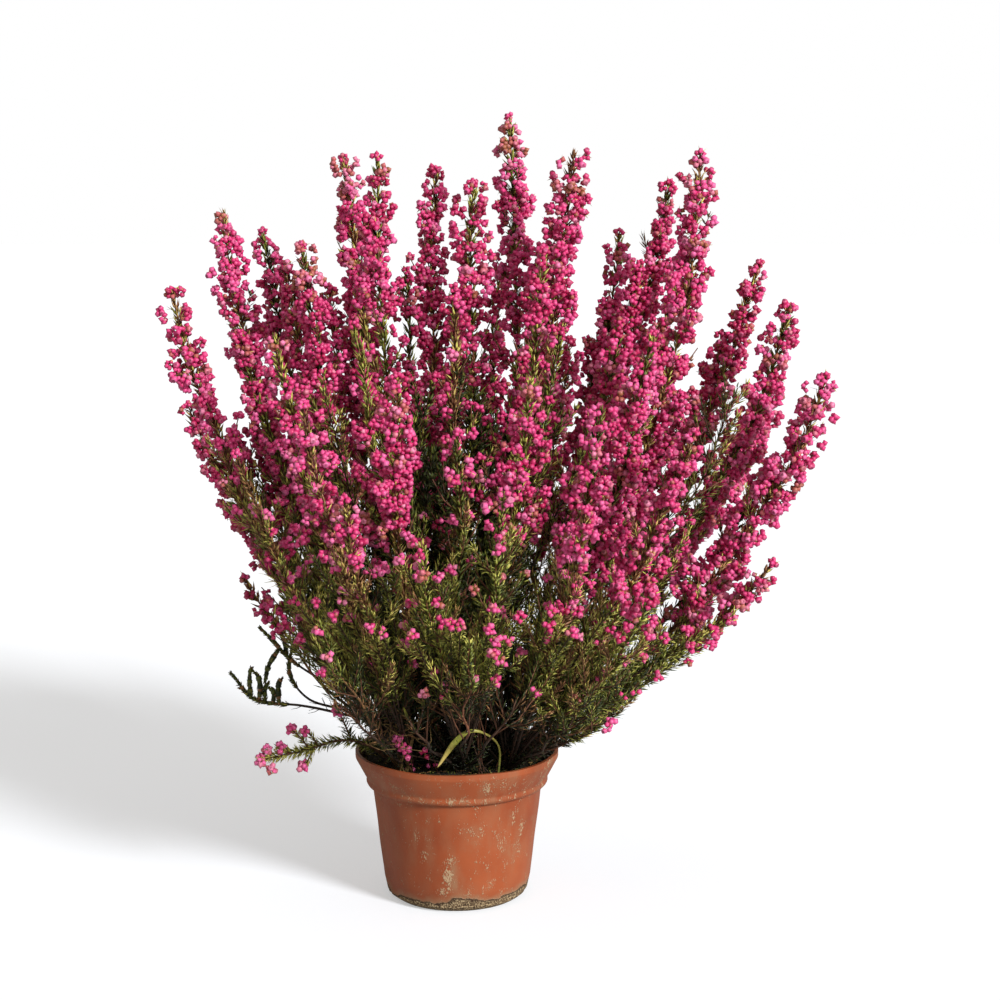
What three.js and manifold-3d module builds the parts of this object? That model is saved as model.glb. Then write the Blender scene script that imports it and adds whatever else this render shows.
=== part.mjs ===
// A cape heath in a plastic nursery pot, in millimetres, +Z up.
// The origin is the centre of the pot's underside. Seen along +Y, +X is to the right.
// Nine woody stems stand in plain holes in the peat. Each one forks at its root into leafy shoots,
// and most shoots end in a spike of small flowers. Two dry twigs, a drooping sprig and a blade of
// grass stand among them.
import * as THREE from "three";
import { mergeVertices } from "three/addons/utils/BufferGeometryUtils.js";
import Module from "manifold-3d";

const wasm = await Module();
wasm.setup();

// Pot: outer radii, heights and the thickness of its wall
const LIP_R = 60;
const LIP_H = 3.4;
const LIP_THICK = 2;
const POT_H = 87;
const FLARE_R = 57;
const FLARE_Z = 78;
const FLARE_WALL = 1.6;
const LEDGE_H = 0.8;
const BAND_R = 51.6;
const BAND_Z = 68.5;
const BAND_WALL = 1.8;
const BODY_TOP_R = 50.2;
const BODY_LOW_R = 43.4;
const BODY_LOW_Z = 12;
const CORNER_R = 41.2;
const CORNER_Z = 3;
const WALL = 1.4;
const POT_SIDES = 36;

// Pot: its underside, which rests on a ring and a hub, and its floor with the drain holes
const FOOT_R = 37;
const FOOT_IN_R = 32;
const HUB_R = 10;
const ARCH = 1.2;
const ARCH_RUN = 1.2;
const FLOOR_Z = 3.4;
const FLOOR_R = 37;
const FLOOR_CURVE = [39.4, 4.2];
const DRAIN_R = 3.6;
const DRAIN_SIDES = 8;
const DRAIN_AT_R = 20.5;
const DRAINS = 6;

// Peat: its surface lies a little under the lip and heaps up at the back left
const CLEAR = 0.35;
const PEAT_Z = 80;
const PEAT_EDGE_R = 53.4;
const PEAT_EDGE_DROP = 3;
const HEAP_H = 12;
const HEAP_AT = [-38, 12];
const HEAP_W = 16;
const PEAT_RINGS = [52, 46, 34, 18, 0];
const PEAT_SIDES = 24;

// Stems: each stands on a tapered peg in a hole of its own
const PEG_DEPTH = 17;
const PEG_RISE = 2;
const PEG_SIDES = 6;
const PEG_TAPER = 0.75;
const MAIN_PEG_R = 3;
const SMALL_PEG_R = 2;
const HOLE_CLEAR = 0.5;
const HOLE_CUT_ABOVE = 20;
const STEM_SIDES = 4;
const STEM_TIP_R = 1.05;
const STEM_WOOD = { bare: 42, step: 21, rootR: 1.7, tipR: STEM_TIP_R };
const BOW = 0.7;
const ROOT_RISE = 1;

// Needles, in whorls of four
const NEEDLE_REACH = 5;
const NEEDLE_LEAN = 3;
const NEEDLE_BASE = 1.3;
const WHORL_PITCH = 23;
const WHORL_TURN = Math.PI / 4;

// Flower spikes: rings of three florets, each ring turned against the last, so that every floret
// stands out between hollows half as far from the middle. They draw in at both ends, and bunch.
const FLORETS_A_RING = 3;
const FLORET_PITCH = 6.9;
const FLORET_TURN = Math.PI / 3.3;
const FLORET_UNEVEN = 0.18;
const BUNCH_PITCH = 24;
const BUNCH_DEPTH = 0.12;
const SPIKE_FOOT = { share: 0.5, over: 40 };
const SPIKE_HEAD = { share: 0.45, over: 47 };
const SPIKE_TIP_R = 1.6;

// Lines at the left foot of the plant: dry twigs, and a sprig that droops over the lip
const TWIG_WOOD = { bare: 60, step: 10, rootR: 1.3, tipR: 0.8 };
const SPRIG_WOOD = { bare: 24, step: 8, rootR: 1.5, tipR: 0.8 };
const SHOOT_WOOD = { bare: 3, step: 3, rootR: 1, tipR: 0.8 };
const TWIG_ROOT = [-42, 14];
const TWIG_LINES = [
  [[-42, 14, 92], [-55, 19, 99], [-77, 22, 104], [-95, 24, 107], [-122, 26, 110], [-136, 26, 126]],
  [[-42, 14, 92], [-58, 20, 102], [-74, 24, 117], [-99, 28, 133], [-114, 28, 149], [-119, 28, 154]],
  [[-42, 14, 92], [-66, 24, 103], [-90, 31, 109], [-102, 35, 124], [-100, 38, 142]],
];
const SPRIG_ROOT = [-40, -15];
const SPRIG_LINE = [
  [-40, -15, 85],
  [-50, -18, 93],
  [-60, -20, 97],
  [-72, -23, 97],
  [-88, -28, 93],
  [-112, -33, 89],
];
// Upright shoots on the first twig, as [share of its length, height], and how far they sway
const TUFTS = [
  [0.62, 20],
  [0.71, 26],
  [0.8, 24],
];
const TUFT_SWAY = 1;
const TUFT_SINK = 0.5;
// Side shoots of the sprig, as [share of its length, step to the tip], each with a ball of florets
const SPRIG_SHOOTS = [
  [0.36, [-9, -4, 16]],
  [0.66, [-8, -3, 11]],
  [0.76, [-4, 1, -7]],
];
const HEAD_R = 6;
const HEAD_LOW = 0.7;
const HEAD_WAVE = 1.9;

// A yellowing blade of grass that grows between the stems and arches down towards the lip
const BLADE_ROOT = [24, -37];
const BLADE_LINE = [
  [24, -37, 80],
  [25, -44, 98],
  [19, -55, 109],
  [9, -60, 113],
  [0, -58, 106],
  [-10, -53, 90],
];
const BLADE_RINGS = 15;
const BLADE_THICK = 0.8;
const BLADE_THIN_HALF = 0.6;
const BLADE_WIDE_HALF = 2.5;
const BLADE_WIDE_AT = 0.72;
const BLADE_WIDE_OVER = 0.16;

// Each main stem: its root on the peat, and its shoots as
// [tip x, y, z, spike length, spike radius, sway]. The sway bends a shoot along X between its ends.
// A shoot with no spike is leafy to its tip.
const STEMS = {
  back_left: {
    root: [-30, 25],
    shoots: [
      [-100, 145, 300, 140, 9.5],
      [-122, 100, 390, 220, 9.5],
      [-165, 65, 285, 140, 9.5],
      [-139, 50, 403, 240, 10, -18],
      [-70, 110, 345, 165, 9.5],
      [-88, 92, 168, 0, 0],
    ],
  },
  back_mid: {
    root: [0, 30],
    shoots: [
      [-20, 155, 320, 150, 9.5],
      [-14, 105, 428, 230, 9, -15],
      [58, 110, 365, 175, 9.5],
      [-68, 60, 434, 250, 10],
      [31, 60, 458, 260, 9.5, 24],
      [-28, 112, 172, 0, 0],
      [30, 104, 160, 0, 0],
    ],
  },
  back_right: {
    root: [28, 26],
    shoots: [
      [70, 155, 320, 150, 9.5],
      [145, 140, 285, 130, 9.5],
      [130, 100, 420, 230, 9.5],
      [200, 95, 290, 140, 9],
      [97, 60, 390, 215, 10, 12],
      [112, 82, 166, 0, 0],
      [60, 98, 178, 0, 0],
    ],
  },
  mid_left: {
    root: [-36, -2],
    shoots: [
      [-164, 10, 357, 240, 10, -12],
      [-89, 12, 383, 220, 10],
      [-100, -40, 335, 185, 10],
      [-45, 10, 433, 250, 10],
      [-122, -20, 194, 55, 8.5],
      [-70, -20, 140, 0, 0],
    ],
  },
  middle: {
    root: [2, 2],
    shoots: [
      [10, 10, 418, 240, 10.5],
      [68, 10, 437, 250, 10.5],
      [0, -45, 360, 195, 10],
      [50, -32, 380, 200, 10],
      [-55, -45, 340, 180, 10],
      [-8, 22, 190, 0, 0],
      [20, -6, 172, 0, 0],
    ],
  },
  mid_right: {
    root: [36, 0],
    shoots: [
      [140, 10, 435, 260, 10.5, 24],
      [194, 12, 349, 195, 9.5, 15],
      [182, 62, 371, 180, 9],
      [207, -37, 311, 195, 10, 24],
      [178, -52, 208, 70, 9],
      [160, -22, 303, 0, 0],
      [96, -8, 118, 0, 0],
      [140, 8, 160, 0, 0],
      [92, 34, 150, 0, 0],
    ],
  },
  front_left: {
    root: [-26, -24],
    shoots: [
      [-120, -60, 270, 145, 9.5],
      [-80, -90, 300, 165, 10],
      [-55, -130, 255, 120, 9.5],
      [-30, -92, 315, 165, 10],
      [-70, -125, 190, 50, 8.5],
      [-66, -58, 150, 0, 0],
      [-56, -92, 136, 0, 0],
    ],
  },
  front_mid: {
    root: [3, -24],
    shoots: [
      [3, -95, 285, 120, 10],
      [42, -90, 315, 135, 10],
      [-15, -140, 235, 100, 9.5],
      [28, -140, 260, 120, 9.5],
      [10, -150, 185, 45, 8.5],
      [-24, -88, 126, 0, 0],
      [34, -104, 142, 0, 0],
    ],
  },
  front_right: {
    root: [30, -24],
    shoots: [
      [110, -45, 335, 185, 10],
      [80, -90, 300, 155, 10],
      [130, -85, 285, 155, 10],
      [70, -135, 250, 120, 9.5],
      [105, -130, 205, 70, 9],
      [72, -84, 136, 0, 0],
      [104, -62, 142, 0, 0],
    ],
  },
};

const PINK = { color: 0xb81a5c, roughness: 0.45, metalness: 0 };
const LEAF = { color: 0x4b5a23, roughness: 0.6, metalness: 0 };
const BARK = { color: 0x3d3128, roughness: 0.85, metalness: 0 };
const TERRACOTTA = { color: 0xb0502c, roughness: 0.6, metalness: 0 };
const PEAT = { color: 0x1d1711, roughness: 0.95, metalness: 0 };
const STRAW = { color: 0xa8a03c, roughness: 0.55, metalness: 0 };

// A repeatable stream of numbers from 0 to 1
function randomStream(seed) {
  let state = seed * 7919 + 17;
  return () => {
    state = (state * 16807) % 2147483647;
    return state / 2147483647;
  };
}

// A closed geometry as a solid, without the triangles that a pole or seam collapses
function solidOf(geometry) {
  const bare = new THREE.BufferGeometry();
  bare.setAttribute("position", geometry.getAttribute("position"));
  if (geometry.index) bare.setIndex(geometry.index);
  const merged = mergeVertices(bare, 1e-4);
  const kept = [];
  for (let i = 0; i < merged.index.count; i += 3) {
    const [a, b, c] = [0, 1, 2].map((k) => merged.index.getX(i + k));
    if (a !== b && b !== c && a !== c) kept.push(a, b, c);
  }
  return new wasm.Manifold(
    new wasm.Mesh({
      numProp: 3,
      vertProperties: merged.attributes.position.array,
      triVerts: new Uint32Array(kept),
    }),
  );
}

function geometryOf(solid) {
  const mesh = solid.getMesh();
  const positions = new THREE.BufferAttribute(mesh.vertProperties, mesh.numProp);
  const geometry = new THREE.BufferGeometry().setAttribute("position", positions);
  geometry.setIndex(new THREE.BufferAttribute(mesh.triVerts, 1));
  return geometry;
}

// Height of the peat's surface
function peatHeight(x, y) {
  const away = (x - HEAP_AT[0]) ** 2 + (y - HEAP_AT[1]) ** 2;
  return PEAT_Z + HEAP_H * Math.exp(-away / (2 * HEAP_W ** 2));
}

// The point, the tangent and two normals a share u of the way along a curve
function station(curve, u) {
  const at = curve.getPointAt(u);
  const along = curve.getTangentAt(u);
  const side = new THREE.Vector3(0, 1, 0);
  side.addScaledVector(along, -side.dot(along)).normalize();
  return { at, along, side, across: new THREE.Vector3().crossVectors(along, side) };
}

// A closed tube with its rings at shares of a curve. A ring is {u, radius, turn}, and radius is a
// number or a function of the column. Between a ring with needles and the next one, each face
// rises to a point.
function ringTube(curve, rings, sides) {
  const stations = rings.map((ring) => station(curve, ring.u));
  const vertices = [];
  const faces = [];
  const reach = (s, angle, radius) =>
    s.at
      .clone()
      .addScaledVector(s.side, radius * Math.cos(angle))
      .addScaledVector(s.across, radius * Math.sin(angle));
  rings.forEach((ring, k) => {
    for (let j = 0; j < sides; j += 1) {
      const angle = (2 * Math.PI * j) / sides + (ring.turn ?? 0);
      const radius = typeof ring.radius === "function" ? ring.radius(j) : ring.radius;
      vertices.push(reach(stations[k], angle, radius));
    }
  });
  for (let k = 0; k + 1 < rings.length; k += 1) {
    for (let j = 0; j < sides; j += 1) {
      const next = (j + 1) % sides;
      const [a, b] = [k * sides + j, k * sides + next];
      const [c, d] = [b + sides, a + sides];
      if (rings[k].needles) {
        const s = stations[k];
        const angle = (2 * Math.PI * (j + 0.5)) / sides + (rings[k].turn ?? 0);
        vertices.push(reach(s, angle, NEEDLE_REACH).addScaledVector(s.along, NEEDLE_LEAN));
        const tip = vertices.length - 1;
        faces.push(a, b, tip, b, c, tip, c, d, tip, d, a, tip);
      } else {
        faces.push(a, b, d, b, c, d);
      }
    }
  }
  // Needle tips were pushed among the rings, so the caps' centres come last.
  const last = (rings.length - 1) * sides;
  vertices.push(stations[0].at, stations.at(-1).at);
  for (let j = 0; j < sides; j += 1) {
    const next = (j + 1) % sides;
    faces.push(next, j, vertices.length - 2);
    faces.push(last + j, last + next, vertices.length - 1);
  }
  const geometry = new THREE.BufferGeometry().setFromPoints(vertices);
  geometry.setIndex(faces);
  return geometry;
}

// Rings of a stem from the curve's start to a length: bare wood first, then whorls of needles
function stemRings(length, to, { bare, step, rootR, tipR }) {
  const radiusAt = (s) => rootR + ((tipR - rootR) * s) / to;
  const rings = [];
  const steps = Math.round(bare / step);
  for (let i = 0; i < steps; i += 1) {
    const s = (bare * i) / steps;
    rings.push({ u: s / length, radius: radiusAt(s), turn: 0 });
  }
  const whorls = Math.floor((to - bare) / WHORL_PITCH);
  for (let i = 0; i < whorls; i += 1) {
    const turn = WHORL_TURN * (i + 1);
    const s = bare + WHORL_PITCH * (i + 0.5);
    rings.push({ u: (s - NEEDLE_BASE / 2) / length, radius: radiusAt(s), turn, needles: true });
    rings.push({ u: (s + NEEDLE_BASE / 2) / length, radius: radiusAt(s), turn });
  }
  rings.push({ u: to / length, radius: tipR, turn: WHORL_TURN * whorls });
  return rings;
}

// The line of a shoot from its root on the peat to its tip, bowed outwards
function shootCurve([rootX, rootY], [tipX, tipY, tipZ, , , sway = 0]) {
  const root = new THREE.Vector3(rootX, rootY, peatHeight(rootX, rootY) + ROOT_RISE);
  const tip = new THREE.Vector3(tipX, tipY, tipZ);
  const bend = new THREE.Vector3(
    root.x + BOW * (tip.x - root.x) + sway,
    root.y + BOW * (tip.y - root.y),
    (root.z + tip.z) / 2,
  );
  return new THREE.QuadraticBezierCurve3(root, bend, tip);
}

// An upright six-sided post between two heights at a place on the peat
function post([x, y], topR, lowR, low, high) {
  const geometry = new THREE.CylinderGeometry(topR, lowR, high - low, PEG_SIDES);
  geometry.rotateX(Math.PI / 2).translate(x, y, (low + high) / 2);
  return solidOf(geometry);
}

// The peg that a stem stands on, and the hole that holds it
function peg(root, radius) {
  const ground = peatHeight(...root);
  return post(root, PEG_TAPER * radius, radius, ground - PEG_DEPTH, ground + PEG_RISE);
}

function hole(root, radius) {
  const ground = peatHeight(...root);
  const wide = radius + HOLE_CLEAR;
  return post(root, wide, wide, ground - PEG_DEPTH - CLEAR, ground + HOLE_CUT_ABOVE);
}

// A solid of revolution about +Z through [radius, height] points that start and end on the axis
function turned(profile, sides) {
  const points = profile.map(([r, z]) => new THREE.Vector2(r, z));
  return new THREE.LatheGeometry(points, sides).rotateX(Math.PI / 2);
}

function pot() {
  const outer = [
    [0, 0],
    [HUB_R, 0],
    [HUB_R + ARCH_RUN, ARCH],
    [FOOT_IN_R - ARCH_RUN, ARCH],
    [FOOT_IN_R, 0],
    [FOOT_R, 0],
    [CORNER_R, CORNER_Z],
    [BODY_LOW_R, BODY_LOW_Z],
    [BODY_TOP_R, BAND_Z],
    [BAND_R, BAND_Z + LEDGE_H],
    [FLARE_R, FLARE_Z],
    [LIP_R, POT_H - LIP_H],
    [LIP_R, POT_H],
  ];
  const inner = [
    [LIP_R - LIP_THICK, POT_H],
    [FLARE_R - FLARE_WALL, FLARE_Z],
    [BAND_R - BAND_WALL, BAND_Z + LEDGE_H],
    [BODY_LOW_R - WALL, BODY_LOW_Z],
    FLOOR_CURVE,
    [FLOOR_R, FLOOR_Z],
    [0, FLOOR_Z],
  ];
  let solid = solidOf(turned([...outer, ...inner], POT_SIDES));
  const drainH = 2 * FLOOR_Z;
  for (let i = 0; i < DRAINS; i += 1) {
    const turn = (2 * Math.PI * i) / DRAINS;
    const drain = new THREE.CylinderGeometry(DRAIN_R, DRAIN_R, 2 * drainH, DRAIN_SIDES);
    drain.rotateX(Math.PI / 2);
    drain.translate(DRAIN_AT_R * Math.cos(turn), DRAIN_AT_R * Math.sin(turn), 0);
    solid = solid.subtract(solidOf(drain));
  }
  return geometryOf(solid);
}

// The peat fills the pot's inside and keeps just clear of its walls
function peat(pegs) {
  const geometry = turned(
    [
      [0, FLOOR_Z + CLEAR],
      [FLOOR_R - CLEAR, FLOOR_Z + CLEAR],
      [FLOOR_CURVE[0] - CLEAR, FLOOR_CURVE[1] + CLEAR],
      [BODY_LOW_R - WALL - CLEAR, BODY_LOW_Z],
      [BAND_R - BAND_WALL - CLEAR, BAND_Z + LEDGE_H],
      [PEAT_EDGE_R, PEAT_Z - PEAT_EDGE_DROP],
      ...PEAT_RINGS.map((r) => [r, PEAT_Z]),
    ],
    PEAT_SIDES,
  );
  const place = geometry.getAttribute("position");
  for (let i = 0; i < place.count; i += 1) {
    if (place.getZ(i) === PEAT_Z) {
      place.setZ(i, peatHeight(place.getX(i), place.getY(i)));
    }
  }
  const whole = solidOf(geometry);
  return geometryOf(pegs.reduce((solid, [root, radius]) => solid.subtract(hole(root, radius)), whole));
}

// A main stem with its leafy shoots, up to where their flower spikes begin
function leafyStem({ root, shoots }) {
  let solid = peg(root, MAIN_PEG_R);
  shoots.forEach((shoot) => {
    const curve = shootCurve(root, shoot);
    const length = curve.getLength();
    const rings = stemRings(length, length - shoot[3], STEM_WOOD);
    solid = solid.add(solidOf(ringTube(curve, rings, STEM_SIDES)));
  });
  return geometryOf(solid);
}

// A flower spike: florets stand out in rings from a hidden core, closer in at both ends
function flowerSpike(root, shoot, seed) {
  const [, , , spike, radius] = shoot;
  const curve = shootCurve(root, shoot);
  const length = curve.getLength();
  const from = length - spike + CLEAR;
  const random = randomStream(seed);
  const count = Math.round(spike / FLORET_PITCH);
  const rings = [{ u: from / length, radius: STEM_TIP_R, turn: -FLORET_TURN }];
  for (let i = 0; i < count; i += 1) {
    const s = from + ((length - from) * (i + 0.5)) / count;
    const foot = SPIKE_FOOT.share + (s - from) / SPIKE_FOOT.over;
    const head = SPIKE_HEAD.share + (length - s) / SPIKE_HEAD.over;
    const bunch = 1 - BUNCH_DEPTH * (1 - Math.cos((2 * Math.PI * s) / BUNCH_PITCH));
    const full = radius * bunch * Math.min(1, foot, head);
    const sizes = Array.from({ length: FLORETS_A_RING }, () => 1 - FLORET_UNEVEN * random());
    rings.push({ u: s / length, radius: (j) => full * sizes[j], turn: FLORET_TURN * i });
  }
  rings.push({ u: 1, radius: SPIKE_TIP_R, turn: FLORET_TURN * count });
  return ringTube(curve, rings, FLORETS_A_RING);
}

const through = (points) =>
  new THREE.CatmullRomCurve3(points.map((point) => new THREE.Vector3(...point)));

function twigSolid(points, wood) {
  const curve = through(points);
  const length = curve.getLength();
  return solidOf(ringTube(curve, stemRings(length, length, wood), STEM_SIDES));
}

function dryTwigs() {
  let solid = peg(TWIG_ROOT, SMALL_PEG_R);
  TWIG_LINES.forEach((line) => {
    solid = solid.add(twigSolid(line, TWIG_WOOD));
  });
  const first = through(TWIG_LINES[0]);
  TUFTS.forEach(([share, height]) => {
    const { x, y, z } = first.getPointAt(share);
    const line = [
      [x, y, z - TUFT_SINK],
      [x - TUFT_SWAY, y, z + height / 2],
      [x + TUFT_SWAY, y, z + height],
    ];
    solid = solid.add(twigSolid(line, SHOOT_WOOD));
  });
  return geometryOf(solid);
}

// A ball of florets, which stand out where a wave over the sphere is high
function flowerHead({ x, y, z }) {
  const geometry = new THREE.IcosahedronGeometry(HEAD_R, 1);
  const place = geometry.getAttribute("position");
  for (let i = 0; i < place.count; i += 1) {
    const [px, py, pz] = [place.getX(i), place.getY(i), place.getZ(i)];
    const wave = Math.sin(HEAD_WAVE * px) * Math.sin(HEAD_WAVE * py + 1) * Math.sin(HEAD_WAVE * pz + 2);
    const share = wave > 0 ? 1 : HEAD_LOW;
    place.setXYZ(i, px * share, py * share, pz * share);
  }
  return solidOf(geometry.translate(x, y, z));
}

function droopingSprig() {
  const main = through(SPRIG_LINE);
  let solid = peg(SPRIG_ROOT, SMALL_PEG_R).add(twigSolid(SPRIG_LINE, SPRIG_WOOD));
  solid = solid.add(flowerHead(main.getPointAt(1)));
  SPRIG_SHOOTS.forEach(([share, step]) => {
    const from = main.getPointAt(share);
    const to = from.clone().add(new THREE.Vector3(...step));
    const half = from.clone().lerp(to, 0.5);
    const line = [from, half, to].map((point) => point.toArray());
    solid = solid.add(twigSolid(line, SHOOT_WOOD)).add(flowerHead(to));
  });
  return geometryOf(solid);
}

function grassBlade() {
  const rings = Array.from({ length: BLADE_RINGS }, (_, i) => {
    const u = i / (BLADE_RINGS - 1);
    const wide = Math.exp(-(((u - BLADE_WIDE_AT) / BLADE_WIDE_OVER) ** 2));
    const half = BLADE_THIN_HALF + (BLADE_WIDE_HALF - BLADE_THIN_HALF) * wide;
    return { u, radius: (j) => (j % 2 ? half : BLADE_THICK / 2) };
  });
  const blade = solidOf(ringTube(through(BLADE_LINE), rings, STEM_SIDES));
  return geometryOf(blade.add(peg(BLADE_ROOT, SMALL_PEG_R)));
}

function addNode(group, name, geometry, look) {
  const mesh = new THREE.Mesh(geometry, new THREE.MeshStandardMaterial(look));
  mesh.name = name;
  group.add(mesh);
}

const heath = new THREE.Group();
const pegs = [
  ...Object.values(STEMS).map((stem) => [stem.root, MAIN_PEG_R]),
  ...[TWIG_ROOT, SPRIG_ROOT, BLADE_ROOT].map((root) => [root, SMALL_PEG_R]),
];
addNode(heath, "pot", pot(), TERRACOTTA);
addNode(heath, "peat", peat(pegs), PEAT);
addNode(heath, "dry_twigs_left", dryTwigs(), BARK);
addNode(heath, "drooping_sprig_left", droopingSprig(), LEAF);
addNode(heath, "grass_blade", grassBlade(), STRAW);
Object.entries(STEMS).forEach(([name, stem], k) => {
  addNode(heath, `stem_${name}`, leafyStem(stem), LEAF);
  stem.shoots.forEach((shoot, i) => {
    if (shoot[3] > 0) {
      addNode(heath, `spike_${name}_${i + 1}`, flowerSpike(stem.root, shoot, 10 * k + i + 1), PINK);
    }
  });
});

export default heath;
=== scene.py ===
import math

import bpy
import numpy as np
import mathutils
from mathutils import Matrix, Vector


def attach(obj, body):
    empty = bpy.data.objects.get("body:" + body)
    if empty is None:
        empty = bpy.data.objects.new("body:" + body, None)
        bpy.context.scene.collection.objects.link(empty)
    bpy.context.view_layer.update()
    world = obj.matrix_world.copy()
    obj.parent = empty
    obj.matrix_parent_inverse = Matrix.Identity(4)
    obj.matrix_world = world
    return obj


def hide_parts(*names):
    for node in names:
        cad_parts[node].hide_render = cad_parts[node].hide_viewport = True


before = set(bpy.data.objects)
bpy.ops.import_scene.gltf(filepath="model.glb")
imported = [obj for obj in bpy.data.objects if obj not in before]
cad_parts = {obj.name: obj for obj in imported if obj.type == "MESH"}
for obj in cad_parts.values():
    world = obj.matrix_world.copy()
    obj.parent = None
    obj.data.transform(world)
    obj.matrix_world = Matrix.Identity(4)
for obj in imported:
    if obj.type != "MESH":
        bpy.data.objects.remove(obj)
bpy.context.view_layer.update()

MM = 0.001
TURN = 2 * math.pi
GOLDEN = math.pi * (3 - math.sqrt(5))
UP = np.array([0.0, 0.0, 1.0])

# The height of the peat, with a heap at the back left
PEAT_Z = 80
HEAP_H = 12
HEAP_AT = (-38, 12)
HEAP_W = 16

# How far along its way out a shoot bends, and how far it wavers from that bow
BOW = 0.7
WAVER = 2.4

# Each main stem: its root, and its shoots as (tip x, y, z, spike length, spike radius, sway to the right)
STEMS = {
    "back_left": ((-30, 25), [
        (-100, 145, 300, 140, 9.5), (-122, 100, 390, 220, 9.5), (-165, 65, 285, 140, 9.5),
        (-139, 50, 403, 240, 10, -18), (-70, 110, 345, 165, 9.5), (-88, 92, 168, 0, 0),
    ]),
    "back_mid": ((0, 30), [
        (-20, 155, 320, 150, 9.5), (-14, 105, 428, 230, 9, -15), (58, 110, 365, 175, 9.5),
        (-68, 60, 434, 250, 10), (31, 60, 458, 260, 9.5, 24), (-28, 112, 172, 0, 0),
        (30, 104, 160, 0, 0),
    ]),
    "back_right": ((28, 26), [
        (70, 155, 320, 150, 9.5), (145, 140, 285, 130, 9.5), (130, 100, 420, 230, 9.5),
        (200, 95, 290, 140, 9), (97, 60, 390, 215, 10, 12), (112, 82, 166, 0, 0), (60, 98, 178, 0, 0),
    ]),
    "mid_left": ((-36, -2), [
        (-164, 10, 357, 240, 10, -12), (-89, 12, 383, 220, 10), (-100, -40, 335, 185, 10),
        (-45, 10, 433, 250, 10), (-122, -20, 194, 55, 8.5), (-70, -20, 140, 0, 0),
    ]),
    "middle": ((2, 2), [
        (10, 10, 418, 240, 10.5), (68, 10, 437, 250, 10.5), (0, -45, 360, 195, 10),
        (50, -32, 380, 200, 10), (-55, -45, 340, 180, 10), (-8, 22, 190, 0, 0), (20, -6, 172, 0, 0),
    ]),
    "mid_right": ((36, 0), [
        (140, 10, 435, 260, 10.5, 24), (194, 12, 349, 195, 9.5, 15), (182, 62, 371, 180, 9),
        (207, -37, 311, 195, 10, 24), (178, -52, 208, 70, 9), (160, -22, 303, 0, 0),
        (96, -8, 118, 0, 0), (140, 8, 160, 0, 0), (92, 34, 150, 0, 0),
    ]),
    "front_left": ((-26, -24), [
        (-120, -60, 270, 145, 9.5), (-80, -90, 300, 165, 10), (-55, -130, 255, 120, 9.5),
        (-30, -92, 315, 165, 10), (-70, -125, 190, 50, 8.5), (-66, -58, 150, 0, 0),
        (-56, -92, 136, 0, 0),
    ]),
    "front_mid": ((3, -24), [
        (3, -95, 285, 120, 10), (42, -90, 315, 135, 10), (-15, -140, 235, 100, 9.5),
        (28, -140, 260, 120, 9.5), (10, -150, 185, 45, 8.5), (-24, -88, 126, 0, 0),
        (34, -104, 142, 0, 0),
    ]),
    "front_right": ((30, -24), [
        (110, -45, 335, 185, 10), (80, -90, 300, 155, 10), (130, -85, 285, 155, 10),
        (70, -135, 250, 120, 9.5), (105, -130, 205, 70, 9), (72, -84, 136, 0, 0), (104, -62, 142, 0, 0),
    ]),
}
ROOTS = [root for root, _ in STEMS.values()]


def unit(v):
    return v / np.linalg.norm(v, axis=-1, keepdims=True)


def peat_height(x, y):
    away = (x - HEAP_AT[0]) ** 2 + (y - HEAP_AT[1]) ** 2
    return PEAT_Z + HEAP_H * np.exp(-away / (2 * HEAP_W**2))


def on_peat(x, y, lift):
    """The point that far over the peat"""
    return np.array([x, y, peat_height(x, y) + lift])


def in_disc(radius, rng):
    """A random place in a disc round the pot's axis"""
    r, turn = radius * math.sqrt(rng.random()), rng.uniform(0, TURN)
    return r * math.cos(turn), r * math.sin(turn)


def root_near(x, y):
    """The root of a main stem that is nearest to a quarter of the way out to a place"""
    return min(ROOTS, key=lambda root: math.hypot(root[0] - 0.25 * x, root[1] - 0.25 * y))


def turned_frames(axes, spins):
    """The local x, y and z of forms that point along axes and are turned about them"""
    ref = np.where(np.abs(axes[:, 2:]) < 0.9, UP, [1.0, 0.0, 0.0])
    u = unit(np.cross(axes, ref))
    v = np.cross(axes, u)
    c, s = np.cos(spins)[:, None], np.sin(spins)[:, None]
    return np.stack([u * c + v * s, v * c - u * s, axes], axis=1)


class Line:
    """A line through points, measured along its length"""

    def __init__(self, points):
        self.points = np.asarray(points, float)
        steps = np.linalg.norm(np.diff(self.points, axis=0), axis=1)
        self.reach = np.concatenate([[0.0], np.cumsum(steps)])
        self.length = self.reach[-1]
        # The axis along which the line goes least, from which its normals are measured
        self.ref = np.eye(3)[np.argmin(np.abs(self.points[-1] - self.points[0]))]

    def at(self, s):
        return np.stack([np.interp(s, self.reach, self.points[:, k]) for k in range(3)], axis=-1)

    def frame(self, s):
        """The direction along the line and two normals at lengths s"""
        h = self.length / 40
        along = unit(self.at(np.minimum(s + h, self.length)) - self.at(np.maximum(s - h, 0)))
        same = np.abs(along @ self.ref)[..., None] > 0.999
        ref = np.where(same, np.roll(self.ref, 1), self.ref)
        side = unit(ref - along * np.sum(along * ref, axis=-1, keepdims=True))
        return along, side, np.cross(along, side)

    def normal(self, s, turn):
        """The direction along the line at s, and the normal to it at an angle"""
        along, side, across = self.frame(s)
        return along, side * math.cos(turn) + across * math.sin(turn)


def bezier(a, b, c, count):
    t = np.linspace(0, 1, count)[:, None]
    return Line((1 - t) ** 2 * a + 2 * t * (1 - t) * b + t**2 * c)


def bowed(root, tip, bend, count, stray=0.0):
    """A line from a root to a tip. Its bend is at shares of the way along x, y and z, give or take stray."""
    foot = np.array([*root, PEAT_Z + 1.0])
    return bezier(foot, foot + (tip - foot) * bend + stray, tip, count)


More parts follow.
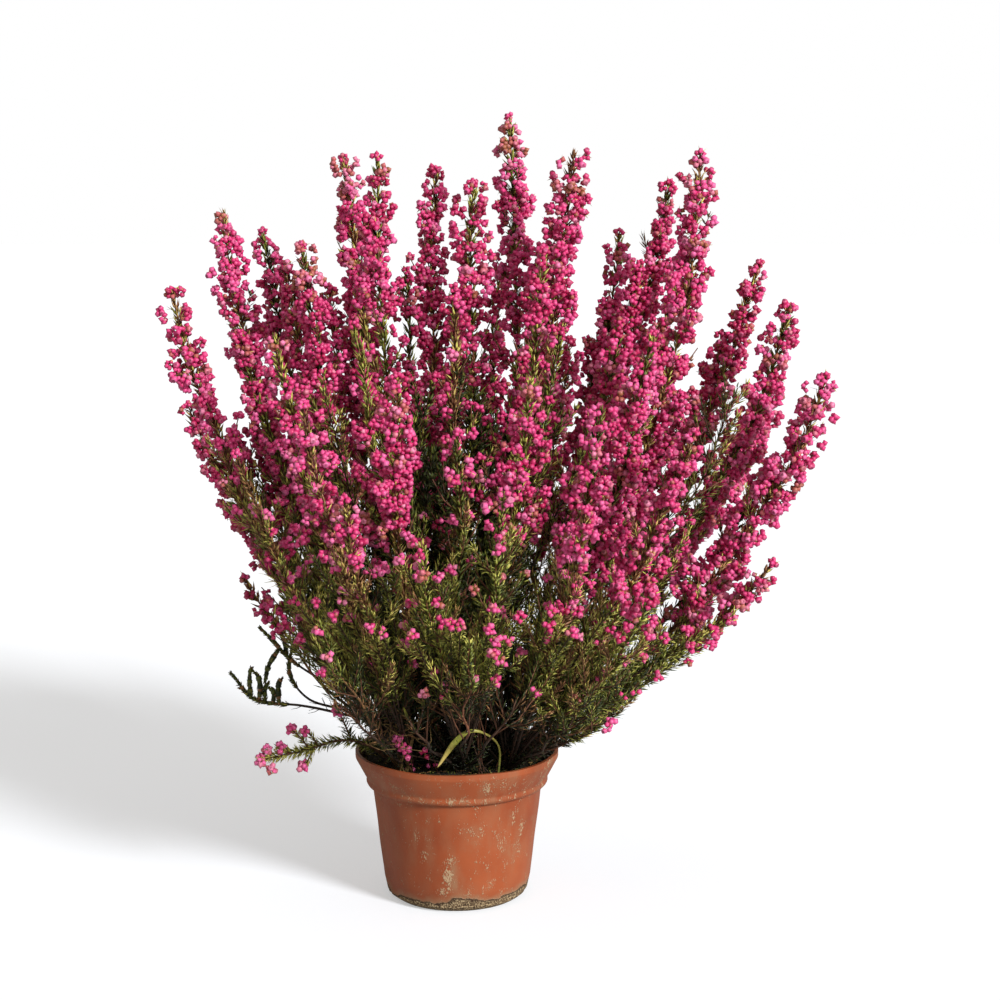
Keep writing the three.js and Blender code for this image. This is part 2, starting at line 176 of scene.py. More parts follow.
def through(points, count=60):
    """A smooth line through points"""
    p = np.asarray(points, float)
    p = np.concatenate([[2 * p[0] - p[1]], p, [2 * p[-1] - p[-2]]])
    out = []
    for i in range(1, len(p) - 2):
        t = np.linspace(0, 1, count // (len(p) - 3), endpoint=False)[:, None]
        a, b, c, d = p[i - 1 : i + 3]
        square, cube = 2 * a - 5 * b + 4 * c - d, 3 * b - a - 3 * c + d
        out.append(0.5 * (2 * b + (c - a) * t + square * t**2 + cube * t**3))
    return Line(np.concatenate(out + [p[-2:-1]]))


class Form:
    """A small closed form about its own +Z. Along is each vertex's place between its two ends."""

    def __init__(self, verts, faces, along):
        self.verts = np.array(verts, float)
        self.faces = np.array(faces)
        self.along = np.array(along, float)


def turned(low, rings, high, sides):
    """A form with rings of (radius, height, along) between two poles"""
    angles = TURN * np.arange(sides) / sides
    verts, along = [[0, 0, low[0]]], [low[1]]
    for radius, z, place in rings:
        for angle in angles:
            verts.append([radius * math.cos(angle), radius * math.sin(angle), z])
            along.append(place)
    verts.append([0, 0, high[0]])
    along.append(high[1])
    faces = []
    last = 1 + (len(rings) - 1) * sides
    for j in range(sides):
        k = (j + 1) % sides
        faces.append([0, 1 + k, 1 + j])
        faces.append([last + j, last + k, len(verts) - 1])
        for i in range(len(rings) - 1):
            a, b = 1 + i * sides + j, 1 + i * sides + k
            faces += [[a, b, b + sides], [a, b + sides, a + sides]]
    return Form(verts, faces, along)


def skin(rings, sides):
    """The triangles over rings of vertices, and to the two poles that come after them"""
    j = np.arange(sides)
    k = (j + 1) % sides
    low = (np.arange(rings - 1) * sides)[:, None]
    a, b, c, d = low + j, low + k, low + sides + k, low + sides + j
    walls = [np.stack(corners, -1).reshape(-1, 3) for corners in ((a, b, c), (a, c, d))]
    pole, top = np.full(sides, rings * sides), (rings - 1) * sides
    ends = [np.stack([pole, k, j], -1), np.stack([pole + 1, top + j, top + k], -1)]
    return np.concatenate(walls + ends)


class Batch:
    """Many small forms in one mesh. Each vertex has a tone and its place along its form."""

    def __init__(self):
        self.verts, self.faces, self.tones, self.alongs = [], [], [], []
        self.count = 0

    def add(self, verts, faces, tones, alongs):
        self.verts.append(verts)
        self.faces.append(faces + self.count)
        self.tones.append(tones)
        self.alongs.append(alongs)
        self.count += len(verts)

    def place(self, form, origins, axes, spins, wide, tall, tones):
        """A copy of the form at each origin, wide across its axis and tall along it"""
        n, v = len(origins), len(form.verts)
        if n == 0:
            return
        size = np.stack([wide, wide, tall], axis=1)
        local = form.verts[None] * size[:, None]
        verts = origins[:, None] + np.einsum("nvk,nkj->nvj", local, turned_frames(axes, spins))
        faces = form.faces[None] + v * np.arange(n)[:, None, None]
        self.add(verts.reshape(-1, 3), faces.reshape(-1, 3), np.repeat(tones, v), np.tile(form.along, n))

    def tube(self, line, start, end, radii, sides, step, tone):
        """A closed round stick along a part of a line, thinning from one radius to the other"""
        end = min(end, line.length)
        count = max(2, int(round((end - start) / step)) + 1)
        s = np.linspace(start, end, count)
        _, side, across = line.frame(s)
        angles = (TURN * np.arange(sides) / sides)[:, None]
        ring = side[:, None] * np.cos(angles) + across[:, None] * np.sin(angles)
        radius = np.interp(s, [start, end], radii)[:, None, None]
        verts = (line.at(s)[:, None] + ring * radius).reshape(-1, 3)
        verts = np.concatenate([verts, line.at(s[[0, -1]])])
        place = np.concatenate([np.repeat(np.linspace(0, 1, count), sides), [0, 1]])
        self.add(verts, skin(count, sides), np.full(len(verts), tone), place)


def set_values(mesh, values):
    """Numbers at the vertices, which the materials read by name"""
    for key, numbers in values.items():
        layer = mesh.attributes.new(key, "FLOAT", "POINT")
        layer.data.foreach_set("value", np.asarray(numbers, np.float32))


def mesh_piece(name, verts, faces, material, nodes=(), values=None):
    """A mesh in metres that rides on the pot's body and stands for the CAD nodes it's given"""
    mesh = bpy.data.meshes.new(name)
    mesh.vertices.add(len(verts))
    mesh.vertices.foreach_set("co", (np.asarray(verts) * MM).ravel())
    mesh.loops.add(faces.size)
    mesh.loops.foreach_set("vertex_index", faces.ravel().astype(np.int32))
    mesh.polygons.add(len(faces))
    mesh.polygons.foreach_set("loop_start", np.arange(0, faces.size, faces.shape[1], dtype=np.int32))
    mesh.polygons.foreach_set("use_smooth", np.ones(len(faces), bool))
    mesh.update(calc_edges=True)
    set_values(mesh, values or {})
    mesh.materials.append(material)
    made = bpy.data.objects.new(name, mesh)
    bpy.context.scene.collection.objects.link(made)
    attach(made, "root")
    if nodes:
        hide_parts(*nodes)
    return made


def batch_piece(name, batch, material, nodes=()):
    verts, faces = np.concatenate(batch.verts), np.concatenate(batch.faces)
    values = {"tone": np.concatenate(batch.tones), "along": np.concatenate(batch.alongs)}
    return mesh_piece(name, verts, faces, material, nodes, values)


# Materials
def add_node(tree, kind, inputs=None, **settings):
    """A node with its settings, and with each input linked to a socket or given a value"""
    made = tree.nodes.new(kind)
    for key, value in settings.items():
        setattr(made, key, value)
    for key, value in (inputs or {}).items():
        if isinstance(value, bpy.types.NodeSocket):
            tree.links.new(value, made.inputs[key])
        else:
            made.inputs[key].default_value = value
    return made


def new_material(name, roughness, **sockets):
    material = bpy.data.materials.new(name)
    material.use_nodes = True
    shader = material.node_tree.nodes["Principled BSDF"]
    shader.inputs["Roughness"].default_value = roughness
    for key, value in sockets.items():
        shader.inputs[key.replace("_", " ")].default_value = value
    return material, material.node_tree, shader


def value_of(tree, name):
    return add_node(tree, "ShaderNodeAttribute", attribute_name=name).outputs["Fac"]


def noise(tree, scale, detail=3.0, stretch=(1, 1, 1)):
    place = add_node(tree, "ShaderNodeTexCoord").outputs["Object"]
    spread = add_node(tree, "ShaderNodeMapping", {"Vector": place, "Scale": stretch}).outputs[0]
    made = add_node(tree, "ShaderNodeTexNoise", {"Vector": spread, "Scale": scale, "Detail": detail})
    return made.outputs["Fac"]


def ramp(tree, factor, stops):
    made = add_node(tree, "ShaderNodeValToRGB", {"Fac": factor})
    while len(made.color_ramp.elements) < len(stops):
        made.color_ramp.elements.new(0.5)
    for element, (place, colour) in zip(made.color_ramp.elements, stops):
        element.position = place
        element.color = (*colour, 1) if isinstance(colour, tuple) else (colour, colour, colour, 1)
    return made.outputs["Color"]


def mix(tree, factor, a, b, blend="MIX"):
    a, b = ((*colour, 1) if isinstance(colour, tuple) else colour for colour in (a, b))
    made = add_node(tree, "ShaderNodeMix", {0: factor, 6: a, 7: b}, data_type="RGBA", blend_type=blend)
    return made.outputs[2]


def sums(tree, kind, *values):
    """One sum of a Math node"""
    return add_node(tree, "ShaderNodeMath", dict(enumerate(values)), operation=kind).outputs[0]


def paint(tree, shader, colour):
    tree.links.new(colour, shader.inputs["Base Color"])


def bump(tree, shader, height, strength, distance):
    inputs = {"Height": height, "Strength": strength, "Distance": distance}
    tree.links.new(add_node(tree, "ShaderNodeBump", inputs).outputs[0], shader.inputs["Normal"])


def flower_material():
    material, tree, shader = new_material("heath_flowers", 0.42, Specular_IOR_Level=0.4)
    tone, along = value_of(tree, "tone"), value_of(tree, "along")
    petals = ramp(tree, tone, [
        (0.0, (0.25, 0.005, 0.040)), (0.3, (0.55, 0.016, 0.115)), (0.55, (0.82, 0.055, 0.26)),
        (0.76, (0.94, 0.17, 0.46)), (0.83, (0.92, 0.30, 0.48)), (0.90, (0.60, 0.14, 0.15)),
        (1.0, (0.42, 0.15, 0.075)),
    ])
    mottled = mix(tree, noise(tree, 700, 2), petals, mix(tree, 1.0, petals, (0.62, 0.55, 0.6), "MULTIPLY"))
    foot = ramp(tree, along, [(0.0, (0.30, 0.24, 0.08)), (0.16, (1.0, 1.0, 1.0))])
    on_foot = ramp(tree, along, [(0.02, 1.0), (0.2, 0.0)])
    body = mix(tree, on_foot, mottled, foot)
    lobes = ramp(tree, along, [(0.6, 0.0), (0.86, 0.26)])
    pale = mix(tree, lobes, body, (0.96, 0.34, 0.60))
    # The mouth of an open flower turns dark red: painted shade inside it
    mouth = ramp(tree, along, [(0.88, 0.0), (1.0, 0.8)])
    paint(tree, shader, mix(tree, mouth, pale, (0.13, 0.008, 0.03)))
    bump(tree, shader, noise(tree, 1500, 2), 0.25, 0.0003)
    return material


def foliage_material():
    material, tree, shader = new_material("heath_foliage", 0.48)
    tone, along = value_of(tree, "tone"), value_of(tree, "along")
    green = ramp(tree, tone, [
        (0.0, (0.005, 0.009, 0.002)), (0.3, (0.031, 0.052, 0.007)), (0.6, (0.19, 0.225, 0.038)),
        (0.82, (0.58, 0.60, 0.16)), (0.92, (0.43, 0.27, 0.12)), (1.0, (0.21, 0.10, 0.052)),
    ])
    tips = ramp(tree, along, [(0.2, (0.8, 0.8, 0.8)), (1.0, (1.6, 1.5, 1.3))])
    varied = mix(tree, 1.0, green, tips, "MULTIPLY")
    patches = ramp(tree, noise(tree, 260, 3), [(0.3, (0.7, 0.72, 0.7)), (0.7, (1.2, 1.15, 1.0))])
    paint(tree, shader, mix(tree, 1.0, varied, patches, "MULTIPLY"))
    bump(tree, shader, noise(tree, 1800, 2), 0.2, 0.0002)
    return material


def bark_material():
    material, tree, shader = new_material("heath_bark", 0.72)
    wood = ramp(tree, value_of(tree, "tone"), [
        (0.0, (0.022, 0.017, 0.014)), (0.35, (0.090, 0.042, 0.024)), (0.6, (0.19, 0.072, 0.036)),
        (1.0, (0.26, 0.20, 0.075)),
    ])
    grain = noise(tree, 500, 4, (1, 1, 0.25))
    shade = ramp(tree, grain, [(0.3, (0.5, 0.48, 0.46)), (0.72, (1.35, 1.3, 1.25))])
    paint(tree, shader, mix(tree, 1.0, wood, shade, "MULTIPLY"))
    bump(tree, shader, grain, 0.5, 0.0006)
    return material


def pot_material():
    material, tree, shader = new_material("terracotta_plastic", 0.5, Specular_IOR_Level=0.35)
    lime, dirt = value_of(tree, "lime"), value_of(tree, "dirt")
    clay = ramp(tree, noise(tree, 24, 5), [(0.32, (0.250, 0.052, 0.017)), (0.68, (0.360, 0.088, 0.030))])
    streaks = noise(tree, 150, 5, (1, 1, 0.35))
    film = sums(tree, "MULTIPLY", ramp(tree, streaks, [(0.40, 0.0), (0.70, 0.8)]), lime)
    hazy = mix(tree, film, clay, (0.30, 0.155, 0.085))
    clumps = sums(tree, "MULTIPLY", noise(tree, 190, 4, (1, 1, 0.6)), 0.48)
    flecks = sums(tree, "MULTIPLY_ADD", noise(tree, 1300, 5, (1, 1, 0.55)), 0.52, clumps)
    reach = sums(tree, "MULTIPLY_ADD", lime, 0.115, flecks)
    spots = ramp(tree, reach, [(0.622, 0.0), (0.685, 0.85)])
    limed = mix(tree, spots, hazy, mix(tree, noise(tree, 600, 3), (0.33, 0.21, 0.12), (0.56, 0.44, 0.29)))
    crumbs = noise(tree, 1100, 4)
    soil = ramp(tree, crumbs, [
        (0.36, (0.040, 0.026, 0.015)), (0.5, (0.16, 0.105, 0.058)), (0.62, (0.46, 0.36, 0.22)),
    ])
    ragged = sums(tree, "MULTIPLY", sums(tree, "MULTIPLY_ADD", noise(tree, 75, 5), 1.5, dirt), 0.5)
    soiled = ramp(tree, ragged, [(0.64, 0.0), (0.67, 1.0)])
    rim = ramp(tree, ragged, [(0.64, 0.0), (0.68, 1.0), (0.74, 0.0)])
    shaded = mix(tree, rim, soil, (0.045, 0.024, 0.014))
    dusty = mix(tree, ramp(tree, ragged, [(0.47, 0.0), (0.65, 0.6)]), limed, (0.30, 0.19, 0.11))
    paint(tree, shader, mix(tree, soiled, dusty, shaded))
    rough = ramp(tree, spots, [(0.0, 0.44), (1.0, 0.8)])
    tree.links.new(mix(tree, soiled, rough, (0.95, 0.95, 0.95)), shader.inputs["Roughness"])
    relief = sums(tree, "ADD", sums(tree, "MULTIPLY", spots, 0.4), sums(tree, "MULTIPLY", soiled, crumbs))
    bump(tree, shader, relief, 0.6, 0.0012)
    return material


def peat_material():
    material, tree, shader = new_material("peat_and_moss", 0.92)
    earth = ramp(tree, value_of(tree, "tone"), [
        (0.0, (0.006, 0.0045, 0.0035)), (0.5, (0.022, 0.015, 0.009)), (0.8, (0.050, 0.040, 0.016)),
        (1.0, (0.14, 0.085, 0.045)),
    ])
    moss = ramp(tree, noise(tree, 120, 4), [(0.5, 0.0), (0.66, 0.6)])
    paint(tree, shader, mix(tree, moss, earth, (0.020, 0.024, 0.008)))
    bump(tree, shader, noise(tree, 900, 5), 0.8, 0.0015)
    return material


def grass_material():
    material, tree, shader = new_material("yellow_grass", 0.45)
    blade = ramp(tree, value_of(tree, "along"), [
        (0.0, (0.14, 0.17, 0.035)), (0.45, (0.30, 0.26, 0.06)), (0.74, (0.30, 0.33, 0.05)),
        (0.88, (0.58, 0.47, 0.13)), (1.0, (0.78, 0.62, 0.24)),
    ])
    veins = noise(tree, 900, 3, (1, 1, 0.2))
    shade = ramp(tree, veins, [(0.35, (0.75, 0.78, 0.7)), (0.65, (1.15, 1.12, 1.1))])
    paint(tree, shader, mix(tree, 1.0, blade, shade, "MULTIPLY"))
    bump(tree, shader, veins, 0.3, 0.0003)
    return material


FLOWERS = flower_material()
FOLIAGE = foliage_material()
BARK = bark_material()
POT = pot_material()
PEAT = peat_material()
GRASS = grass_material()


# The photograph's camera in metres, how far it looks down, and the way that the sunlight falls
CAMERA_AT = (0.0254, -1.15, 0.3967)
LOOK_DOWN = 8
SUN_WAY = (-0.65, 0.69, -0.48)
FLOOR_HALF = 30.0


def studio():
    """Camera, floor and lights"""
    scene = bpy.context.scene
    lens = bpy.data.cameras.new("camera")
    lens.lens = 72
    lens.sensor_width = 36
    lens.clip_start = 0.05
    camera = bpy.data.objects.new("camera", lens)
    camera.location = CAMERA_AT
    camera.rotation_euler = (math.radians(90 - LOOK_DOWN), 0, 0)
    scene.collection.objects.link(camera)
    scene.camera = camera

    half = FLOOR_HALF
    mesh = bpy.data.meshes.new("floor")
    corners = [(-half, -half, 0), (half, -half, 0), (half, half, 0), (-half, half, 0)]
    mesh.from_pydata(corners, [], [(0, 1, 2, 3)])
    material, tree, shader = new_material("pale_floor", 0.9)
    seen = add_node(tree, "ShaderNodeLightPath").outputs["Is Camera Ray"]
    paper = ramp(tree, noise(tree, 3, 2), [(0.3, (0.61, 0.655, 0.74)), (0.7, (0.63, 0.675, 0.76))])
    paint(tree, shader, mix(tree, seen, (0.48, 0.48, 0.48), paper))
    shader.inputs["Emission Color"].default_value = (1, 1, 1, 1)
    tree.links.new(sums(tree, "MULTIPLY", seen, 0.41), shader.inputs["Emission Strength"])
    mesh.materials.append(material)
    floor = bpy.data.objects.new("floor", mesh)
    scene.collection.objects.link(floor)

    lamp = bpy.data.lights.new("key", "SUN")
    lamp.energy = 4.15
    lamp.angle = math.radians(14)
    lamp.color = (1.0, 0.97, 0.92)
    key = bpy.data.objects.new("key", lamp)
    key.rotation_euler = Vector(SUN_WAY).to_track_quat("-Z", "Y").to_euler()
    scene.collection.objects.link(key)

    world = bpy.data.worlds.new("studio")
    scene.world = world
    world.use_nodes = True
    tree = world.node_tree
    back = tree.nodes["Background"]
    back.inputs["Color"].default_value = (1.0, 0.93, 0.82, 1)
    back.inputs["Strength"].default_value = 0.44
    plain = add_node(tree, "ShaderNodeBackground", {"Color": (1, 1, 1, 1), "Strength": 1.0})
    seen = add_node(tree, "ShaderNodeLightPath").outputs["Is Camera Ray"]
    both = add_node(tree, "ShaderNodeMixShader", {0: seen, 1: back.outputs[0], 2: plain.outputs[0]})
    tree.links.new(both.outputs[0], tree.nodes["World Output"].inputs["Surface"])
    scene.view_settings.view_transform = "Standard"
    scene.view_settings.look = "None"


# A flower is an urn with an open mouth, 3.4 mm long. A bud is closed at its tip. SHADED is the plain
# one for places deep in the plant, NEEDLE a leaf one unit long, and CRUMB a grain of peat.
FLOWER = turned((0, 0.0), [(1.8, 1.5, 0.42), (1.22, 3.4, 0.9)], (2.7, 1.0), 5)
BUD = turned((0, 0.0), [(1.66, 1.6, 0.45)], (3.5, 0.85), 5)
SHADED = turned((0, 0.0), [(1.75, 1.9, 0.5)], (3.6, 0.85), 5)
NEEDLE = Form(
    [(0, 0, 0), (1, 0.5, 0.4), (-1, 0.5, 0.4), (0, 0, 1)],
    [(0, 2, 1), (0, 1, 3), (0, 3, 2), (1, 2, 3)],
    [0, 0.4, 0.4, 1],
)
CRUMB = turned((-0.9, 0.0), [(0.95, 0.1, 0.5)], (0.8, 1.0), 5)


class Bed:
    """Places for many copies of one form"""

    def __init__(self, form):
        self.form = form
        self.rows = []

    def add(self, at, axis, spin, wide, tall, tone):
        self.rows.append((at, axis, spin, wide, tall, tone))

    def lay(self, batch):
        if not self.rows:
            return
        at, axis, spin, wide, tall, tone = (np.array(column, float) for column in zip(*self.rows))
        batch.place(self.form, at, axis, spin, wide, tall, tone)


class Growth:
    """The flowers, needles and wood of one part of the plant"""

    def __init__(self):
        self.flowers, self.foliage, self.wood = Batch(), Batch(), Batch()
        self.beds = Bed(FLOWER), Bed(BUD), Bed(SHADED), Bed(NEEDLE)
        self.sticks = Bed(NEEDLE)

    def lay(self):
        """Put the copies of each form into the mesh that it belongs to"""
        for bed in self.beds[:3]:
            bed.lay(self.flowers)
        self.beds[3].lay(self.foliage)
        self.sticks.lay(self.wood)

    def pieces(self, flowers, needles, wood, spikes=(), stem=()):
        """Its three pieces by name, and the CAD nodes that they stand for"""
        self.lay()
        batch_piece(flowers, self.flowers, FLOWERS, spikes)
        batch_piece(needles, self.foliage, FOLIAGE, stem)
        batch_piece(wood, self.wood, BARK, stem)


def inside(at):
    """Whether a place is deep in the plant, where other flowers hide it"""
    return at[2] < 350 and math.hypot(at[0], at[1]) < 0.44 * at[2] - 32


def hidden(at):
    """Whether a place is so deep that nothing of it shows"""
    return at[2] < 340 and math.hypot(at[0], at[1]) < 0.34 * at[2] - 29


# The lowest leaves at the left, as x and height
LEFT_X = (-130, -115, -105, -92, -81, -69, -60, -57)
LEFT_FOOT = (222, 196, 182, 155, 139, 127, 119, 88)

# The lowest leaves at the front, as x and height
FRONT_X = (-60, -50, -40, -30, -20, -10, 0, 10, 20, 30, 40, 50, 60)
FRONT_FOOT = (140, 134, 128, 120, 120, 130, 126, 134, 137, 142, 134, 114, 112)


def too_low(at):
    """Whether leaves at a place would hang lower than the plant's do, which rise outwards in a cup"""
    x, y, z = at[..., 0], at[..., 1], at[..., 2]
    far = np.hypot(x, y)
    # The foot of the leaves is 94 mm up at 58 mm from the axis, and rises faster from 92 mm on
    foot = 94 + 0.4 * (far - 58) + 0.5 * np.maximum(0, far - 92)
    left = np.where((x < -56) & (y > -95), np.interp(x, LEFT_X, LEFT_FOOT), 0)
    return z < np.maximum(foot, left)


def in_shade(at):
    """Whether a place at the front is under the lit leaves"""
    x, y, z = at[..., 0], at[..., 1], at[..., 2]
    return (np.abs(x) < 62) & (y < -8) & (z < np.interp(x, FRONT_X, FRONT_FOOT) - 0.25 * (y + 60))


def by_blade(at):
    """Whether a place is so near the blade of grass that leaves there would hide it"""
    return (np.abs(at[..., 0] - 6) < 25) & (at[..., 1] < -34) & (at[..., 2] < 122)


def misplaced(twig):
    """Whether a twig would end lower than the plant's leaves do, or under the lit ones at the front"""
    return too_low(twig.points[-1]) or in_shade(twig.points[-1])


# How many of the flowers in a head are buds and how many are brown, and how many heads are pale
BUD_SHARE = 0.7
WORN_SHARE = 0.07
PALE_SHARE = 0.09
# The tones of brown flowers, of the brown tip of a spike and of a pale head
WORN_TONE = 0.9
WORN_TIP_TONE = 0.88
PALE_TONE = 0.84


def cluster(beds, at, facing, count, size, tone, rng, cap=1.75):
    """A close head of flowers round a point, over the side that it faces"""
    flowers, buds, shaded, bracts = beds
    u, v, facing = turned_frames(facing[None], np.array([rng.uniform(0, TURN)]))[0]
    deep = inside(at)
    for i in range(count):
        tilt = math.acos(1 - (i + 0.4) / count * (1 - math.cos(cap))) + rng.normal(0, 0.1)
        turn = i * GOLDEN + rng.normal(0, 0.15)
        axis = facing * math.cos(tilt) + (u * math.cos(turn) + v * math.sin(turn)) * math.sin(tilt)
        grown = size * rng.uniform(0.96, 1.22)
        bed = shaded if deep else (buds if rng.random() < BUD_SHARE else flowers)
        own = WORN_TONE if rng.random() < WORN_SHARE else tone
        bed.add(
            at + axis * rng.uniform(0.2, 0.9),
            axis,
            rng.uniform(0, TURN),
            grown * rng.uniform(0.95, 1.06),
            grown,
            min(1, max(0, own + rng.normal(0, 0.06))),
        )
    if deep:
        return
    for _ in range(rng.integers(0, 3)):
        axis = unit(facing * 0.6 + rng.normal(0, 0.6, 3))
        spin, length = rng.uniform(0, TURN), rng.uniform(4.4, 5.6)
        bracts.add(at, axis, spin, 0.45, length, rng.choice([0.76, 0.84, 0.94]))


# Kinds of needles, as (step between whorls, length, needles in a whorl, lean outwards, half width)
NEEDLES = {
    "stem": (3.0, 6.4, 4, 0.5, 0.44),
    "stem foot": (3.2, 6.0, 3, 0.9, 0.5),
    "twig": (2.6, 7.2, 4, 0.46, 0.42),
    "inner twig": (5.0, 7.0, 3, 0.85, 0.75),
    "spike": (2.4, 7.6, 4, 0.5, 0.8),
    "side spike": (3.4, 6.0, 3, 0.5, 0.7),
    "under spike": (3.4, 6.8, 4, 0.5, 0.5),
    "low head": (2.4, 6.2, 4, 0.6, 0.44),
    "low twig": (2.5, 6.2, 4, 0.6, 0.44),
    "inner foot": (4.0, 7.0, 4, 0.9, 0.9),
    "tuft": (1.5, 3.4, 6, 0.42, 0.5),
    "dry tuft": (3.0, 3.6, 4, 0.5, 0.45),
    "sprig": (1.4, 6.2, 6, 0.9, 0.5),
    "sprig end": (1.2, 5.6, 7, 0.95, 0.6),
    "sprig twig": (1.6, 5.4, 5, 0.9, 0.44),
}
# Tones above this one are dry needles. Those under the lit leaves at the front get dark tones, which are
# painted shade, or the dry tone.
LAST_GREEN = 0.85
PAINTED_SHADE_AND_DRY_TONES = [0.05, 0.16, 0.3, 0.98]


def needles_along(batch, line, start, end, kind, tone, rng, anywhere=False):
    """Whorls of needles on a line, shorter towards its tip, and none that hang too low unless anywhere"""
    pitch, length, count, lean, wide = kind
    s = np.arange(start, end, pitch)
    if len(s) == 0:
        return
    s = np.clip(s + rng.uniform(-0.35, 0.35, len(s)) * pitch, 0, line.length)
    along, side, across = line.frame(s)
    whorls = (len(s), count)
    turns = np.arange(len(s))[:, None] * TURN / (2 * count) + TURN * np.arange(count) / count
    turns = (turns + rng.normal(0, 0.25, whorls))[..., None]
    out = side[:, None] * np.cos(turns) + across[:, None] * np.sin(turns)
    young = np.interp(s, [end - 12, end], [0.0, 1.0])[:, None]
    tilt = (lean * (1 - 0.45 * young) + rng.normal(0, 0.18, whorls))[..., None]
    axes = unit(out * np.sin(tilt) + along[:, None] * np.cos(tilt)).reshape(-1, 3)
    at = (line.at(s)[:, None] + out * 0.3).reshape(-1, 3)
    tall = (length * (1 - 0.3 * young) * rng.uniform(0.75, 1.15, whorls)).ravel()
    tones = (tone + 0.14 * young + rng.normal(0, 0.11, whorls)).ravel()
    wide = wide * rng.uniform(0.85, 1.15, len(at))
    spins = rng.uniform(0, TURN, len(at))
    # Green needles low down are darker: painted shade under the leaves, weaker at the left
    if tone < LAST_GREEN:
        low = np.interp(at[:, 2], [110, 165], [1, 0]) * np.where(at[:, 0] < -50, 0.3, 1)
        tones = np.minimum(tones, 0.86) - 0.16 * low
    tones = np.clip(tones, 0, 1)
    # Needles under the lit leaves at the front take painted shade: a dark tone, or the dry one
    shade = in_shade(at) & (not anywhere)
    tones = np.where(shade, rng.choice(PAINTED_SHADE_AND_DRY_TONES, len(at)), tones)
    gone = too_low(at) | by_blade(at) | (shade & (rng.random(len(at)) < 0.35))
    here = ~gone | anywhere
    batch.place(NEEDLE, at[here], axes[here], spins[here], wide[here], tall[here], tones[here])


def side_twig(at, out, along, length, lift):
    """A twig that leaves outwards and turns up"""
    first = unit(out * 0.72 + along * 0.7)
    second = unit(first + UP * lift)
    return bezier(at, at + first * length * 0.5, at + (first + second) * length * 0.5, 9)


def shoot_line(root, shoot, rng):
    """The line of a shoot, bowed outwards and wavering a little"""
    tip = np.array(shoot[:3], float)
    sway = shoot[5] if len(shoot) > 5 else 0
    foot = on_peat(*root, 1.0)
    bend = foot + (tip - foot) * (BOW, BOW, 0.5) + (sway, 0, 0)
    line = bezier(foot, bend, tip, 120)
    u = line.reach / line.length
    for axis in (0, 1):
        waves = rng.uniform(1.3, 3.4)
        line.points[:, axis] += WAVER * np.sin(TURN * waves * u + rng.uniform(0, TURN)) * np.sin(math.pi * u)
    return Line(line.points)


# Where the flowers begin at the front, as x and height
BLOOM_X = (-150, -120, -90, -60, -30, 0, 20, 45, 70, 100, 150)
BLOOM_FOOT = (165, 178, 192, 200, 206, 224, 226, 210, 186, 162, 150)
# How full the spikes are that aren't as full as the plain ones
FULLNESS = {
    "front_left_1": 0.6, "front_left_2": 0.6, "front_left_3": 0.65, "front_left_5": 0.5,
    "front_mid_1": 0.35, "front_mid_2": 0.65, "front_mid_3": 0.8, "front_mid_4": 0.75,
    "front_mid_5": 0.3, "mid_left_3": 0.65, "mid_left_5": 0.7, "middle_3": 0.7, "mid_right_5": 0.8,
    "front_right_1": 0.8, "front_right_2": 0.75, "front_right_3": 0.75, "front_right_4": 0.7,
    "front_right_5": 0.7,
}
PLAIN_FULLNESS = 0.9
# How much wider some spikes are than the plain ones
WIDER = {
    "middle_1": 1.15, "middle_2": 1.12, "back_left_4": 1.1, "back_mid_5": 1.05, "back_left_2": 1.1,
    "mid_right_4": 1.18, "mid_right_2": 1.1, "mid_right_5": 1.1,
}
# The spikes with tips that turn brown
WORN = ("back_mid_5", "back_mid_4", "mid_left_2")
# How far from their roots the main stems have no leafy twigs
PLAIN_BARE = 32
BARE = {"front_mid": 50, "front_left": 40, "front_right": 30, "mid_right": 28}

# Patches of leafy stems with few heads in the front half, as x, height, their half widths and share
SPARSE = [
    (-132, 236, 30, 34, 0.35), (-108, 214, 24, 26, 0.5), (130, 226, 22, 28, 0.5),
    (150, 262, 12, 20, 0.5),
]
# How far up a spike the next whorl of heads is, after an even and an odd one
WHORL_STEPS = [(4.8, 5.8), (7.2, 8.6)]


def bloom_share(at):
    """The share of the heads that grows at a place. It's small low down, and up to greater heights in the
    middle of the plant.
    """
    foot = np.interp(at[0], BLOOM_X, BLOOM_FOOT) - 0.15 * (at[1] + 100)
    share = np.interp(at[2], [foot - 50, foot - 6, foot + 40], [0.02, 0.10, 1.0])
    if at[1] < 50:
        for x, z, wide, tall, left in SPARSE:
            near = math.exp(-(((at[0] - x) / wide) ** 2) - ((at[2] - z) / tall) ** 2)
            share *= 1 - (1 - left) * near
    return share


